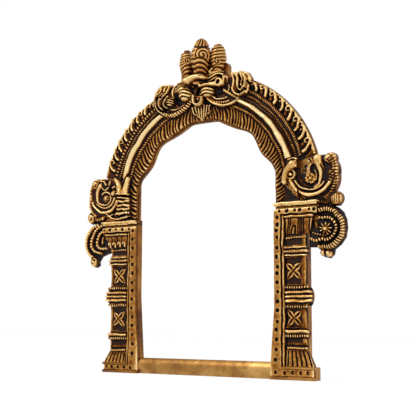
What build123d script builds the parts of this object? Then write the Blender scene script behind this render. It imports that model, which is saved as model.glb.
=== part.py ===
from build123d import *
import os
from math import cos, radians, sin

# A cast brass prabhavali: a small arch on two columns, joined by a rail at the feet.
# Millimetres. X runs to the right, Z up, and the front faces -Y.
# The origin is under the middle of the rail, at half the depth of the feet.
# Depth counts forwards from the flat back. A piece that stands on both sides
# is drawn for the right one, then mirrored for the left.

# Depths, from the back face
foot_depth = 6.5
post_depth = 3.6
border_depth = 6.3
shaft_depth = 5.2
ring_depth = 6.2
capital_depth = 6.2
bell_depth = 6.4
impost_depth = 6.8
foot_front = 5.0
plate_back = 1.2
plate_front = 3.2
fringe_front = 4.3
leaf_front = 5.5
rail_back = 0.6
rail_front = 5.6
rail_round = 1.9

# Upright edges, from the middle plane
foot_inner = 41.4
jamb_inner = 43.8
strip_outer = 47.8
bead_inner = 48.2
bead_outer = 49.6
shaft_inner = 50.3
shaft_outer = 61.5
shoulder_outer = 68.0
foot_outer = 65.8

# Heights of the hand-cut members, which differ from side to side
levels = {
    "left": {
        "foot_top": 5.4,
        "neck": 14.8,
        "base_ring": 19.5,
        "middle_ring": 41.6,
        "upper_ring": 61.0,
        "capital_bottom": 68.8,
        "capital_top": 73.6,
        "bar_bottom": 77.4,
        "impost_bottom": 81.2,
        "impost_top": 83.8,
    },
    "right": {
        "foot_top": 6.3,
        "neck": 17.8,
        "base_ring": 22.2,
        "middle_ring": 40.0,
        "upper_ring": 62.0,
        "capital_bottom": 70.5,
        "capital_top": 77.0,
        "bar_bottom": 80.7,
        "impost_bottom": 84.6,
        "impost_top": 87.0,
    },
}
bar_height = 3.0
plinth_lip = 1.5
foot_rim = 1.0
shoulder_drop = 3.4

# Punched dots of the border
dot_radius = 0.65
dot_depth = 0.9
dot_pitch = 4.6
strip_dot_start = 0.8
foot_dot_start = 0.6

# Column rings: half heights and how far their tips stand out of the shaft
base_ring_half = 2.3
base_ring_tip = 1.6
middle_ring_half = 5.2
middle_ring_tip = 3.6
upper_ring_half = 2.2
upper_ring_tip = 1.2
reed_height = 0.9

# Column panels, capital and bell
petal_length = 4.4
petal_width = 2.2
petal_height = 0.7
flower_boss = 1.0
flower_boss_height = 1.05
capital_bottom_x = 63.4
capital_top_x = 65.8
capital_flutes = 5
abacus_height = 1.6
bead_gap = 0.8
flute_depth = 0.8
flute_width = 0.8
flute_margin = 0.9
flute_spread = 0.35
bell_neck = 3.4
bell_hollow = 14.0
neck_stand_out = 0.3
neck_rise = 0.7
bell_flute_start = 0.7
bell_flute_top_margin = 0.4
bell_flute_low_margin = 0.8
bell_flutes = 5
impost_bevel = 0.6

# Arch, as circles about one centre, worked outwards from the jamb
arch_z = 92.9
fringe_width = 5.5
moulding_gap = 0.4
rib_gap = 0.7
rope_gap = 0.6
inner_cord_width = 1.1
inner_cord_height = 2.6
rib_half_width = 2.3
rib_height = 4.2
bead_row_width = 0.9
bead_row_height = 2.4
rope_width = 1.1
rope_height = 2.4
leaf_low_width = 6.8
leaf_mid_width = 5.2
leaf_top_width = 3.2
leaf_mid_angle = 48
fringe_radius = jamb_inner + fringe_width
inner_cord_radius = fringe_radius + moulding_gap + inner_cord_width
rib_radius = inner_cord_radius + inner_cord_width + moulding_gap + rib_half_width
bead_row_radius = rib_radius + rib_half_width + rib_gap + bead_row_width
rope_radius = bead_row_radius + bead_row_width + rope_gap + rope_width
leaf_inner = rope_radius + rope_width + moulding_gap
ornament_start = 14
ornament_end = 67
leaf_count = 9
leaf_gap_width = 1.3
leaf_gap_length = 5.4
leaf_gap_depth = 1.5
leaf_margin = 0.4
leaf_lean = 24

# Scalloped inner edge: how far each point stands in from the jamb, and its angle
scallops = [(0.1, 20), (2.9, 31), (1.0, 46), (3.4, 61), (2.6, 76)]
apex_inset = 3.0
jamb_top_angle = 13

# Rail between the feet
rail_height = 8.3
tenon_length = 3.0
tenon_root = 1.0
tenon_height = 4.0
tenon_depth = 2.6
tenon_clearance = 0.1

# Makara, right side
head_outer = rib_radius + 3.4
head_eye_z = arch_z + 7.4
eye_radius = 1.4
eye_lid = 0.5
eye_inset = 0.4
head_lean = 0.4
head_lean_rise = 3.1
head_top_rise = 11.1
head_depth = 6.0
jaw_depth = 8.2
jaw_outline = [(-5.3, 0.1), (-2.0, -0.1), (-0.6, 3.3), (1.8, 5.3), (-0.2, 5.8), (-3.6, 5.1), (-5.6, 3.5)]
curl_middle = (rib_radius + 13.4, arch_z + 4.6)
curl_half_width = 11.2
curl_half_height = 12.0
crest_curl = (rib_radius + 10.9, arch_z + 8.6)
crest_curl_radius = 12.7
crest_curl_width = 1.4
thin_curl_radius = 10.4
thin_curl_width = 0.8
curl_start = 206
curl_turn = 112
lobe_centre = (curl_middle[0] + 1.8, curl_middle[1] + 1.5)
lobe_radius = 7.6
lobe_width = 1.5
lobe_start = -70
lobe_turn = 125
drop_radius = 4.2
drop_width = 1.2
drop_start = -60
drop_turn = 190
rosette = (curl_middle[0] - 3.4, curl_middle[1] + 0.1)
rosette_radius = 2.6
rosette_sink = 0.6
knob_top = (shoulder_outer + 6.8, arch_z + 13.7)
knob_top_radius = 3.1
knob_top_inset = 0.2
knob_low = (shoulder_outer + 9.4, arch_z - 5.9)
knob_low_radius = 3.6
knob_low_ring = 2.2
knob_low_ring_width = 1.0
knob_low_ball = 1.7
knob_low_rise = 0.2
makara_depth = 4.4
seam_z = arch_z - 9.5

# Tail scroll, right side, as bars of given radius, width, start and turn
tail_centre = (shoulder_outer + 3.8, seam_z - 11.0)
tail_radius = 10.6
tail_depth = 3.8
tail_bars = [(8.9, 1.5, -110, 190), (6.4, 1.1, -150, 230), (4.4, 0.9, -60, 200)]
tail_eye_radius = 2.8
tail_knob = (tail_centre[0] - 0.6, tail_centre[1] - 11.8)
tail_knob_radius = 2.9
tail_clearance = 0.4
tail_inner = shaft_outer + upper_ring_tip + tail_clearance
tail_neck_low = 3.6
tail_neck_outer = 9.2

# Crest, worked from the top of the arch
face_half_width = 15.0
face_bottom = arch_z + fringe_radius - 1.7
face_top = arch_z + leaf_inner + leaf_top_width - 0.1
face_depth = 7.4
jaw_rise = 3.5
brow_drop = 2.6
brow_half_width = 10.0
ridge_half_width = 6.0
ridge_flare = 1.5
ridge_height = 4.4
ridge_stand_out = 0.8
nose_depth = 13.6
nose_radius = 3.0
nose_drop = 3.2
cheek_x = 7.2
cheek_z = face_bottom + 7.9
cheek_radius = 3.4
cheek_middle = 7.6
eye_x = 12.4
eye_z = face_top - 6.2
eye_ring = 2.0
eye_ring_width = 0.8
eye_ring_rise = 1.2
eye_ball = 1.9
mouth_half_width = 3.4
mouth_height = 9.5
mouth_depth = 1.6
tongue_half_width = 2.7
tongue_top = face_bottom + 6.5
tongue_tip = face_bottom + 0.9
tongue_depth = 9.6
beard_half_width = 6.4
beard_tip_half_width = 2.2
beard_tip_rise = 1.6
beard_tip = arch_z + jamb_inner - apex_inset + 0.5
beard_depth = 5.4
mane_centre = (face_half_width + 1.5, face_bottom + 8.9)
mane_radius = 13.2
mane_width = 1.6
mane_start = 200
mane_turn = 130
mane_depth = 4.8
mane_knob = (mane_centre[0] + 8.9, mane_centre[1] + 0.8)
mane_knob_radius = 6.0
mane_knob_start = -70
mane_knob_turn = 250
mane_knob_ball = 2.6
mane_knob_rise = 1.0
mane_boss = (mane_centre[0] + 4.1, mane_centre[1] - 3.0)
mane_boss_radius = 2.8
crown_middle = 7.4
side_lobe_middle = 4.7
crown_rings = 6
side_lobe_rings = 4
crown_radius = 5.7
crown_body = 0.88
crown_belly = 0.35
crown_fall = 0.68
ring_bulge = 0.4
crown_top = face_top + 20.8
side_lobe_x = 10.4
side_lobe_radius = 4.1
side_lobe_top = face_top + 16.8
tab_half_width = 15.3
tab_height = 19.2
tab_top = face_top + 6.6
tab_corner = 3.0

# Cutting shapes only have to be larger than the arch
beyond_all = 4 * leaf_inner
beyond_top_angle = 120

os.makedirs("parts", exist_ok=True)


def layer(depth):
    """Plane parallel to the back, this far in front of it."""
    return Plane.XZ.offset(depth - foot_depth / 2)


def y_at(depth):
    """Y of a depth from the back."""
    return foot_depth / 2 - depth


def polar(radius, angle):
    """Point of the arch's face at a radius and an angle from the springing line."""
    return (radius * cos(radians(angle)), arch_z + radius * sin(radians(angle)))


def flat_shape(depth, points):
    """Straight-sided outline at a depth."""
    with BuildSketch(layer(depth)) as shape:
        with BuildLine():
            Polyline(*points, close=True)
        make_face()
    return shape.sketch


def smooth_shape(depth, points):
    """Outline that curves through its points, at a depth."""
    with BuildSketch(layer(depth)) as shape:
        with BuildLine():
            Spline(*points, periodic=True)
        make_face()
    return shape.sketch


def disc(depth, centre, radius):
    """Round outline at a depth."""
    with BuildSketch(layer(depth)) as shape:
        with Locations(centre):
            Circle(radius)
    return shape.sketch


def settle(side):
    """Turn the finished right-hand piece into the left-hand one where needed."""
    if side == "left":
        mirror(about=Plane.YZ, mode=Mode.REPLACE)


def keep(piece, name):
    """Name the finished piece and write its file."""
    piece.part.label = name
    export_step(piece.part, f"parts/{name}.step")


def arch_plate_half(depth, bottom):
    """Right half of the arch plate's outline, down to the impost."""
    inner = [polar(jamb_inner - inset, angle) for inset, angle in scallops]
    jamb_top = (jamb_inner, arch_z + jamb_inner * sin(radians(jamb_top_angle)))
    apex = (0, arch_z + jamb_inner - apex_inset)
    outer_top = (0, arch_z + leaf_inner + leaf_top_width)
    outer_foot = (leaf_inner + leaf_low_width, arch_z)
    with BuildSketch(layer(depth)) as shape:
        with BuildLine():
            Line((jamb_inner, bottom), jamb_top)
            Spline(jamb_top, *inner, apex, tangents=[(0, 1), (-1, 0)])
            Line(apex, outer_top)
            ThreePointArc(outer_top, polar(leaf_inner + leaf_mid_width, leaf_mid_angle), outer_foot)
            Line(outer_foot, (shoulder_outer, bottom))
            Line((shoulder_outer, bottom), (jamb_inner, bottom))
        make_face()
    return shape.sketch


def cut_arch_plate(side):
    """Take the arch plate out of the open part."""
    extrude(
        arch_plate_half(plate_back, levels[side]["impost_top"]),
        amount=plate_front - plate_back,
        mode=Mode.SUBTRACT,
    )


def mane_outline(depth):
    """Outline of the right mane scroll."""
    with BuildSketch(layer(depth)) as shape:
        with Locations(mane_centre):
            Circle(mane_radius)
        with Locations(mane_knob):
            Circle(mane_knob_radius)
    return shape.sketch


def arc_plane(angle):
    """Cross-section plane of the arch, with radius and Y as its axes."""
    return Plane(
        origin=(0, 0, arch_z),
        x_dir=(cos(radians(angle)), 0, sin(radians(angle))),
        z_dir=(-sin(radians(angle)), 0, cos(radians(angle))),
    )


arch_axis = Axis((0, 0, arch_z), (0, -1, 0))


def arch_moulding(name, side, radius, half_width, height, start, end):
    """Half-round moulding that lies on the arch plate."""
    base = y_at(plate_front)
    with BuildPart() as moulding:
        with BuildSketch(arc_plane(start)) as section:
            with BuildLine():
                Polyline(
                    (radius - half_width, base - height + half_width),
                    (radius - half_width, base),
                    (radius + half_width, base),
                    (radius + half_width, base - height + half_width),
                )
                ThreePointArc(
                    (radius + half_width, base - height + half_width),
                    (radius, base - height),
                    (radius - half_width, base - height + half_width),
                )
            make_face()
        revolve(axis=arch_axis, revolution_arc=end - start)
        extrude(mane_outline(0), amount=2 * foot_depth, mode=Mode.SUBTRACT)
        settle(side)
    keep(moulding, f"{side}_{name}")


def curl(centre, radius, width, depth, start, turn):
    """Round bar bent round a centre, its axis at this depth; added to the open part."""
    axis = Axis((centre[0], 0, centre[1]), (0, -1, 0))
    direction = (cos(radians(start)), 0, sin(radians(start)))
    plane = Plane(
        origin=(centre[0], y_at(depth), centre[1]),
        x_dir=direction,
        z_dir=(-sin(radians(start)), 0, cos(radians(start))),
    )
    with BuildSketch(plane) as section:
        with Locations((radius, 0)):
            Circle(width)
    revolve(section.sketch, axis=axis, revolution_arc=turn)


def boss(centre, radius, depth):
    """Round boss with its centre at this depth; added to the open part."""
    with Locations((centre[0], y_at(depth), centre[1])):
        Sphere(radius)


def cut_behind(depth):
    """Cut the open part flat at this depth."""
    split(bisect_by=layer(depth), keep=Keep.TOP)


def make_foot_block(side):
    top = levels[side]["foot_top"]
    tenon_z = rail_height / 2
    with BuildPart() as foot_block:
        extrude(flat_shape(0, [(foot_inner, 0), (foot_outer, 0), (foot_outer, top), (foot_inner, top)]),
                amount=foot_depth)
        recess = [
            (foot_inner, plinth_lip),
            (foot_outer, plinth_lip),
            (foot_outer, top - foot_rim),
            (strip_outer, top - foot_rim),
            (strip_outer, top),
            (foot_inner, top),
        ]
        extrude(flat_shape(foot_front, recess), amount=foot_depth - foot_front, mode=Mode.SUBTRACT)
        mortise_half = tenon_height / 2 + tenon_clearance
        mortise_end = foot_inner + tenon_length + tenon_clearance
        mortise_z = min(tenon_z, top / 2)
        mortise = [
            (foot_inner, mortise_z - mortise_half),
            (mortise_end, mortise_z - mortise_half),
            (mortise_end, mortise_z + mortise_half),
            (foot_inner, mortise_z + mortise_half),
        ]
        middle = (rail_back + rail_front) / 2
        start = middle - tenon_depth / 2 - tenon_clearance
        extrude(flat_shape(start, mortise), amount=tenon_depth + 2 * tenon_clearance, mode=Mode.SUBTRACT)
        settle(side)
    keep(foot_block, f"{side}_foot_block")


def make_post(side):
    level = levels[side]
    shoulder_z = level["bar_bottom"] - shoulder_drop
    points = [
        (foot_inner, level["foot_top"]),
        (jamb_inner, level["middle_ring"]),
        (jamb_inner, level["impost_bottom"]),
        (shoulder_outer, level["impost_bottom"]),
        (shoulder_outer, shoulder_z),
        (shaft_outer, shoulder_z),
        (shaft_outer, level["foot_top"]),
    ]
    with BuildPart() as post:
        extrude(flat_shape(0, points), amount=post_depth)
        settle(side)
    keep(post, f"{side}_post")


def make_border(side):
    level = levels[side]
    bar_top = level["bar_bottom"] + bar_height
    foot_bar = (plinth_lip, level["foot_top"] - foot_rim)
    outline = [
        (foot_inner, foot_bar[0]),
        (foot_outer, foot_bar[0]),
        (foot_outer, foot_bar[1]),
        (strip_outer, foot_bar[1]),
        (strip_outer, level["bar_bottom"]),
        (shoulder_outer, level["bar_bottom"]),
        (shoulder_outer, bar_top),
        (jamb_inner, bar_top),
        (jamb_inner, level["middle_ring"]),
        (foot_inner, level["foot_top"]),
    ]
    middle = (jamb_inner + strip_outer) / 2
    foot_middle = (foot_inner + strip_outer) / 2
    rise = level["middle_ring"] - foot_bar[1]
    with BuildPart() as border:
        extrude(flat_shape(post_depth, outline), amount=border_depth - post_depth)
        foot_top = level["foot_top"]
        block = [(foot_inner, 0), (foot_outer, 0), (foot_outer, foot_top), (foot_inner, foot_top)]
        extrude(flat_shape(0, block), amount=foot_front, mode=Mode.SUBTRACT)
        dots = []
        for index in range(int((bar_top - level["foot_top"]) / dot_pitch)):
            z = level["foot_top"] + dot_pitch * (index + strip_dot_start)
            share = min((z - foot_bar[1]) / rise, 1)
            dots.append((foot_middle + (middle - foot_middle) * share, z))
        for index in range(1, int((shoulder_outer - jamb_inner) / dot_pitch)):
            dots.append((middle + dot_pitch * index, bar_top - bar_height / 2))
        for index in range(int((foot_outer - foot_inner) / dot_pitch)):
            dots.append((foot_inner + dot_pitch * (index + foot_dot_start), sum(foot_bar) / 2))
        with BuildSketch(layer(border_depth - dot_depth)) as holes:
            with Locations(*dots):
                Circle(dot_radius)
        extrude(holes.sketch, amount=2 * dot_depth, mode=Mode.SUBTRACT)
        settle(side)
    keep(border, f"{side}_border")


def make_border_bead(side):
    level = levels[side]
    height = level["bar_bottom"] - bead_gap - level["foot_top"]
    width = bead_outer - bead_inner
    with BuildPart() as bead:
        with BuildSketch(Plane.XY.offset(level["foot_top"])) as section:
            with BuildLine():
                Polyline(
                    (bead_inner, y_at(shaft_depth)),
                    (bead_inner, y_at(post_depth)),
                    (bead_outer, y_at(post_depth)),
                    (bead_outer, y_at(shaft_depth)),
                )
                ThreePointArc(
                    (bead_outer, y_at(shaft_depth)),
                    ((bead_inner + bead_outer) / 2, y_at(shaft_depth + width / 2)),
                    (bead_inner, y_at(shaft_depth)),
                )
            make_face()
        extrude(amount=height)
        settle(side)
    keep(bead, f"{side}_border_bead")


def make_column(side):
    level = levels[side]
    bottom = level["neck"]
    top = level["capital_bottom"]
    panels = [
        (level["base_ring"] + base_ring_half, level["middle_ring"] - middle_ring_half),
        (level["middle_ring"] + middle_ring_half, level["upper_ring"] - upper_ring_half),
    ]
    with BuildPart() as column:
        box = [(shaft_inner, bottom), (shaft_outer, bottom), (shaft_outer, top), (shaft_inner, top)]
        extrude(flat_shape(post_depth, box), amount=shaft_depth - post_depth)
        for low, high in panels:
            centre = ((shaft_inner + shaft_outer) / 2, (low + high) / 2)
            for quarter in range(4):
                turn = 45 + 90 * quarter
                out = (petal_length / 2 * cos(radians(turn)), petal_length / 2 * sin(radians(turn)))
                with BuildSketch(layer(shaft_depth)) as petal:
                    with Locations(Location((centre[0] + out[0], centre[1] + out[1]), turn)):
                        Ellipse(petal_length / 2, petal_width / 2)
                extrude(petal.sketch, amount=petal_height)
            extrude(disc(shaft_depth, centre, flower_boss), amount=flower_boss_height)
        settle(side)
    keep(column, f"{side}_column")


def reeded_face(x, low, high, reeds, front, bulge):
    """Side view of a ring: a straight back and a front with equal half-round reeds."""
    step = (high - low) / reeds
    with BuildSketch(Plane.YZ.offset(x)) as face:
        with BuildLine():
            Polyline((y_at(front), low), (y_at(0), low), (y_at(0), high), (y_at(front), high))
            for index in range(reeds):
                start = low + step * index
                ThreePointArc(
                    (y_at(front), start), (y_at(front + bulge), start + step / 2), (y_at(front), start + step)
                )
        make_face()
    return face.sketch


def make_ring(side, name, middle, half, tip, reeds):
    """Ring that wraps the column's front and outer side, pointed at its middle."""
    low = middle - half
    high = middle + half
    outline = [
        (shaft_inner, low),
        (shaft_outer + tip / 2, low),
        (shaft_outer + tip, middle),
        (shaft_outer + tip / 2, high),
        (shaft_inner, high),
    ]
    shaft = [(shaft_inner, low), (shaft_outer, low), (shaft_outer, high), (shaft_inner, high)]
    with BuildPart() as ring:
        extrude(flat_shape(0, outline), amount=2 * ring_depth)
        extrude(
            reeded_face(shaft_inner, low, high, reeds, ring_depth, reed_height),
            amount=shaft_outer + tip,
            mode=Mode.INTERSECT,
        )
        extrude(flat_shape(0, shaft), amount=shaft_depth, mode=Mode.SUBTRACT)
        settle(side)
    keep(ring, f"{side}_{name}")


def make_capital(side):
    level = levels[side]
    low = level["capital_bottom"]
    high = level["capital_top"]
    line_low = level["bar_bottom"] - bead_gap - abacus_height
    shoulder_z = level["bar_bottom"] - shoulder_drop
    outline = [
        (shaft_inner, low),
        (capital_bottom_x, low),
        (capital_top_x, high),
        (capital_top_x, line_low),
        (shoulder_outer, line_low),
        (shoulder_outer, line_low + abacus_height),
        (shaft_inner, line_low + abacus_height),
    ]
    post = [(shaft_inner, low), (shaft_outer, low), (shaft_outer, line_low), (shaft_inner, line_low)]
    with BuildPart() as capital:
        extrude(flat_shape(0, outline), amount=capital_depth)
        extrude(flat_shape(0, post), amount=post_depth, mode=Mode.SUBTRACT)
        shoulder = [
            (shaft_inner, shoulder_z),
            (shoulder_outer, shoulder_z),
            (shoulder_outer, high + shoulder_outer),
            (shaft_inner, high + shoulder_outer),
        ]
        extrude(flat_shape(0, shoulder), amount=post_depth, mode=Mode.SUBTRACT)
        pitch = (capital_bottom_x - shaft_inner) / capital_flutes
        with BuildSketch(layer(capital_depth - flute_depth)) as flutes:
            for index in range(1, capital_flutes):
                x = shaft_inner + pitch * index
                with BuildLine():
                    Polyline(
                        (x, low + flute_margin),
                        (x + flute_width, low + flute_margin),
                        (x + flute_width + index * flute_spread, high - flute_margin),
                        (x + index * flute_spread, high - flute_margin),
                        close=True,
                    )
                make_face()
        extrude(flutes.sketch, amount=2 * flute_depth, mode=Mode.SUBTRACT)
        settle(side)
    keep(capital, f"{side}_capital")


def make_foot_bell(side):
    level = levels[side]
    low = level["foot_top"]
    high = level["neck"]
    waist = high - bell_neck
    neck_x = shaft_outer + neck_stand_out
    neck_depth = shaft_depth + neck_rise
    with BuildPart() as bell:
        with BuildSketch(layer(0)) as outline:
            with BuildLine():
                Polyline(
                    (neck_x, waist),
                    (neck_x, high),
                    (shaft_inner, high),
                    (shaft_inner, low),
                    (foot_outer, low),
                )
                RadiusArc((foot_outer, low), (neck_x, waist), -bell_hollow)
            make_face()
        extrude(outline.sketch, amount=foot_depth)
        with BuildSketch(Plane.YZ.offset(shaft_inner)) as face:
            with BuildLine():
                Polyline(
                    (y_at(bell_depth), low),
                    (y_at(0), low),
                    (y_at(0), high),
                    (y_at(neck_depth), high),
                    (y_at(neck_depth), waist),
                )
                RadiusArc((y_at(neck_depth), waist), (y_at(bell_depth), low), bell_hollow)
            make_face()
        extrude(face.sketch, amount=foot_outer, mode=Mode.INTERSECT)
        post = [(shaft_inner, low), (shaft_outer, low), (shaft_outer, high), (shaft_inner, high)]
        extrude(flat_shape(0, post), amount=post_depth, mode=Mode.SUBTRACT)
        pitch = (shaft_outer - shaft_inner) / bell_flutes
        with BuildSketch(layer(shaft_depth)) as flutes:
            for index in range(bell_flutes):
                x = shaft_inner + pitch * (index + bell_flute_start)
                with BuildLine():
                    Polyline(
                        (x, waist - bell_flute_top_margin),
                        (x + flute_width, waist - bell_flute_top_margin),
                        (x + flute_width + index * flute_spread, low + bell_flute_low_margin),
                        (x + index * flute_spread, low + bell_flute_low_margin),
                        close=True,
                    )
                make_face()
        extrude(flutes.sketch, amount=foot_depth, mode=Mode.SUBTRACT)
        settle(side)
    keep(bell, f"{side}_foot_bell")


def make_impost(side):
    level = levels[side]
    low = level["impost_bottom"]
    high = level["impost_top"]
    ledge = [(jamb_inner, low), (shoulder_outer, low), (shoulder_outer, high), (jamb_inner, high)]
    with BuildPart() as impost:
        extrude(flat_shape(0, ledge), amount=impost_depth)
        chamfer(impost.edges().filter_by(Axis.X).group_by(Axis.Y)[0], impost_bevel)
        settle(side)
    keep(impost, f"{side}_impost")


def beard_points():
    """Outline of the beard, down to its blunt tip."""
    return [
        (-beard_half_width, face_bottom),
        (-beard_tip_half_width, beard_tip + beard_tip_rise),
        (0, beard_tip),
        (beard_tip_half_width, beard_tip + beard_tip_rise),
        (beard_half_width, face_bottom),
    ]


def head_points():
    """Outline of the crest's face."""
    jaw_z = face_bottom + jaw_rise
    brow_z = face_top - brow_drop
    return [
        (-face_half_width, jaw_z),
        (-beard_half_width, face_bottom),
        (beard_half_width, face_bottom),
        (face_half_width, jaw_z),
        (face_half_width, brow_z),
        (brow_half_width, face_top),
        (-brow_half_width, face_top),
        (-face_half_width, brow_z),
    ]


def make_leaf_border(side):
    with BuildPart() as border:
        extrude(arch_plate_half(plate_front, levels[side]["impost_top"]), amount=leaf_front - plate_front)
        extrude(disc(0, (0, arch_z), leaf_inner), amount=foot_depth, mode=Mode.SUBTRACT)
        wedge = [(0, arch_z), polar(beyond_all, ornament_start), polar(beyond_all, ornament_end)]
        extrude(flat_shape(0, wedge), amount=foot_depth, mode=Mode.INTERSECT)
        extrude(mane_outline(0), amount=foot_depth, mode=Mode.SUBTRACT)
        step = (ornament_end - ornament_start) / leaf_count
        with BuildSketch(layer(leaf_front - leaf_gap_depth)) as gaps:
            for index in range(leaf_count):
                angle = ornament_start + step * (index + 0.5)
                spot = polar(leaf_inner + leaf_gap_length / 2 + leaf_margin, angle)
                with Locations(Location(spot, angle + leaf_lean)):
                    SlotOverall(leaf_gap_length, leaf_gap_width)
        extrude(gaps.sketch, amount=leaf_gap_depth, mode=Mode.SUBTRACT)
        settle(side)
    keep(border, f"{side}_leaf_border")


def make_fringe(side):
    with BuildPart() as fringe:
        extrude(arch_plate_half(plate_front, levels[side]["impost_top"]), amount=fringe_front - plate_front)
        quarter = [(0, arch_z), (beyond_all, arch_z), (beyond_all, beyond_all), (0, beyond_all)]
        with BuildSketch(layer(0)) as outside:
            add(flat_shape(0, quarter))
            add(disc(0, (0, arch_z), fringe_radius), mode=Mode.SUBTRACT)
        extrude(outside.sketch, amount=foot_depth, mode=Mode.SUBTRACT)
        beside = [(fringe_radius, 0), (beyond_all, 0), (beyond_all, arch_z), (fringe_radius, arch_z)]
        extrude(flat_shape(0, beside), amount=foot_depth, mode=Mode.SUBTRACT)
        extrude(flat_shape(0, beard_points()), amount=foot_depth, mode=Mode.SUBTRACT)
        extrude(flat_shape(0, head_points()), amount=foot_depth, mode=Mode.SUBTRACT)
        extrude(mane_outline(0), amount=foot_depth, mode=Mode.SUBTRACT)
        settle(side)
    keep(fringe, f"{side}_fringe")


def head_edge(bottom):
    """Edge between the makara's head and its scroll, from the impost up."""
    return [
        (head_outer, bottom),
        (head_outer - head_lean, arch_z + head_lean_rise),
        (head_outer - 2 * head_lean, arch_z + head_top_rise),
    ]


def above_start():
    """Wedge over the springing of the arch's mouldings."""
    wedge = [(0, arch_z), polar(beyond_all, ornament_start), polar(beyond_all, beyond_top_angle)]
    return flat_shape(0, wedge)


def make_makara_head(side):
    bottom = levels[side]["impost_top"]
    lump = [
        (fringe_radius, bottom),
        *head_edge(bottom),
        polar(rib_radius + rib_half_width, ornament_start),
        polar(inner_cord_radius - inner_cord_width, ornament_start),
    ]
    eye = (rib_radius - eye_inset, head_eye_z)
    jaw = [(eye[0] + across, head_eye_z + up) for across, up in jaw_outline]
    with BuildPart() as head:
        extrude(flat_shape(plate_front, lump), amount=head_depth - plate_front)
        extrude(smooth_shape(plate_front, jaw), amount=jaw_depth - plate_front)
        boss(eye, eye_radius, head_depth)
        curl(eye, eye_radius + 2 * eye_lid, eye_lid, head_depth, 0, 360)
        extrude(disc(0, (0, arch_z), fringe_radius), amount=fringe_front, mode=Mode.SUBTRACT)
        under = [(0, 0), (fringe_radius, 0), (fringe_radius, arch_z), (0, arch_z)]
        extrude(flat_shape(0, under), amount=fringe_front, mode=Mode.SUBTRACT)
        extrude(above_start(), amount=2 * foot_depth, mode=Mode.SUBTRACT)
        settle(side)
    keep(head, f"{side}_makara_head")


def make_makara_scroll(side):
    bottom = levels[side]["impost_top"]
    with BuildPart() as scroll:
        with BuildSketch(layer(plate_back)) as outline:
            with Locations(curl_middle):
                Ellipse(curl_half_width, curl_half_height)
            with Locations(knob_top):
                Circle(knob_top_radius)
            with Locations(knob_low):
                Circle(knob_low_radius)
        extrude(outline.sketch, amount=makara_depth - plate_back)
        curl(crest_curl, crest_curl_radius, crest_curl_width, makara_depth, curl_start, curl_turn)
        curl(crest_curl, thin_curl_radius, thin_curl_width, makara_depth, curl_start, curl_turn)
        curl(lobe_centre, lobe_radius, lobe_width, makara_depth, lobe_start, lobe_turn)
        curl(lobe_centre, drop_radius, drop_width, makara_depth, drop_start, drop_turn)
        curl(knob_low, knob_low_ring, knob_low_ring_width, makara_depth, 0, 360)
        boss(knob_top, knob_top_radius - knob_top_inset, makara_depth)
        boss(rosette, rosette_radius, makara_depth - rosette_sink)
        boss(knob_low, knob_low_ball, makara_depth + knob_low_rise)
        edge = head_edge(bottom)
        keep_out = [(0, 0), (edge[0][0], 0), *edge, (edge[-1][0], beyond_all), (0, beyond_all)]
        extrude(flat_shape(0, keep_out), amount=2 * foot_depth, mode=Mode.SUBTRACT)
        below = [(0, 0), (beyond_all, 0), (beyond_all, seam_z), (shoulder_outer, seam_z),
                 (shoulder_outer, bottom), (0, bottom)]
        extrude(flat_shape(0, below), amount=2 * foot_depth, mode=Mode.SUBTRACT)
        cut_behind(plate_back)
        cut_arch_plate(side)
        extrude(above_start(), amount=2 * foot_depth, mode=Mode.SUBTRACT)
        settle(side)
    keep(scroll, f"{side}_makara_scroll")


def make_tail_scroll(side):
    shoulder_z = levels[side]["bar_bottom"] - shoulder_drop
    neck_z = tail_centre[1] + tail_neck_low
    inner = capital_top_x + tail_clearance
    with BuildPart() as tail:
        with BuildSketch(layer(plate_back)) as outline:
            with Locations(tail_centre):
                Circle(tail_radius)
            with Locations(tail_knob):
                Circle(tail_knob_radius)
            with BuildLine():
                Polyline(
                    (inner, neck_z),
                    (tail_centre[0] + tail_neck_outer, neck_z),
                    (tail_centre[0] + tail_neck_outer, seam_z),
                    (shoulder_outer, seam_z),
                    close=True,
                )
            make_face()
        extrude(outline.sketch, amount=tail_depth - plate_back)
        for radius, width, start, turn in tail_bars:
            curl(tail_centre, radius, width, tail_depth, start, turn)
        boss(tail_centre, tail_eye_radius, tail_depth)
        boss(tail_knob, tail_knob_radius, tail_depth)
        capital_z = levels[side]["capital_bottom"] - tail_clearance
        keep_out = [
            (0, 0),
            (tail_inner, 0),
            (tail_inner, capital_z),
            (inner, capital_z),
            (inner, shoulder_z),
            (shoulder_outer, shoulder_z),
            (shoulder_outer, beyond_all),
            (0, beyond_all),
        ]
        extrude(flat_shape(0, keep_out), amount=2 * foot_depth, mode=Mode.SUBTRACT)
        above = [(0, seam_z), (beyond_all, seam_z), (beyond_all, beyond_all), (0, beyond_all)]
        extrude(flat_shape(0, above), amount=2 * foot_depth, mode=Mode.SUBTRACT)
        cut_behind(plate_back)
        settle(side)
    keep(tail, f"{side}_tail_scroll")


def make_mane_scroll(side):
    with BuildPart() as mane:
        extrude(mane_outline(plate_front), amount=mane_depth - plate_front)
        curl(mane_centre, mane_radius - mane_width, mane_width, mane_depth, mane_start, mane_turn)
        knob_bar = mane_knob_radius - mane_width
        curl(mane_knob, knob_bar, mane_width, mane_depth + mane_knob_rise, mane_knob_start, mane_knob_turn)
        boss(mane_knob, mane_knob_ball, mane_depth)
        boss(mane_boss, mane_boss_radius, mane_depth)
        face = [
            (-beyond_all, 0),
            (face_half_width, 0),
            (face_half_width, beyond_all),
            (-beyond_all, beyond_all),
        ]
        extrude(flat_shape(0, face), amount=4 * foot_depth, mode=Mode.SUBTRACT)
        cut_behind(plate_front)
        settle(side)
    keep(mane, f"{side}_mane_scroll")


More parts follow.
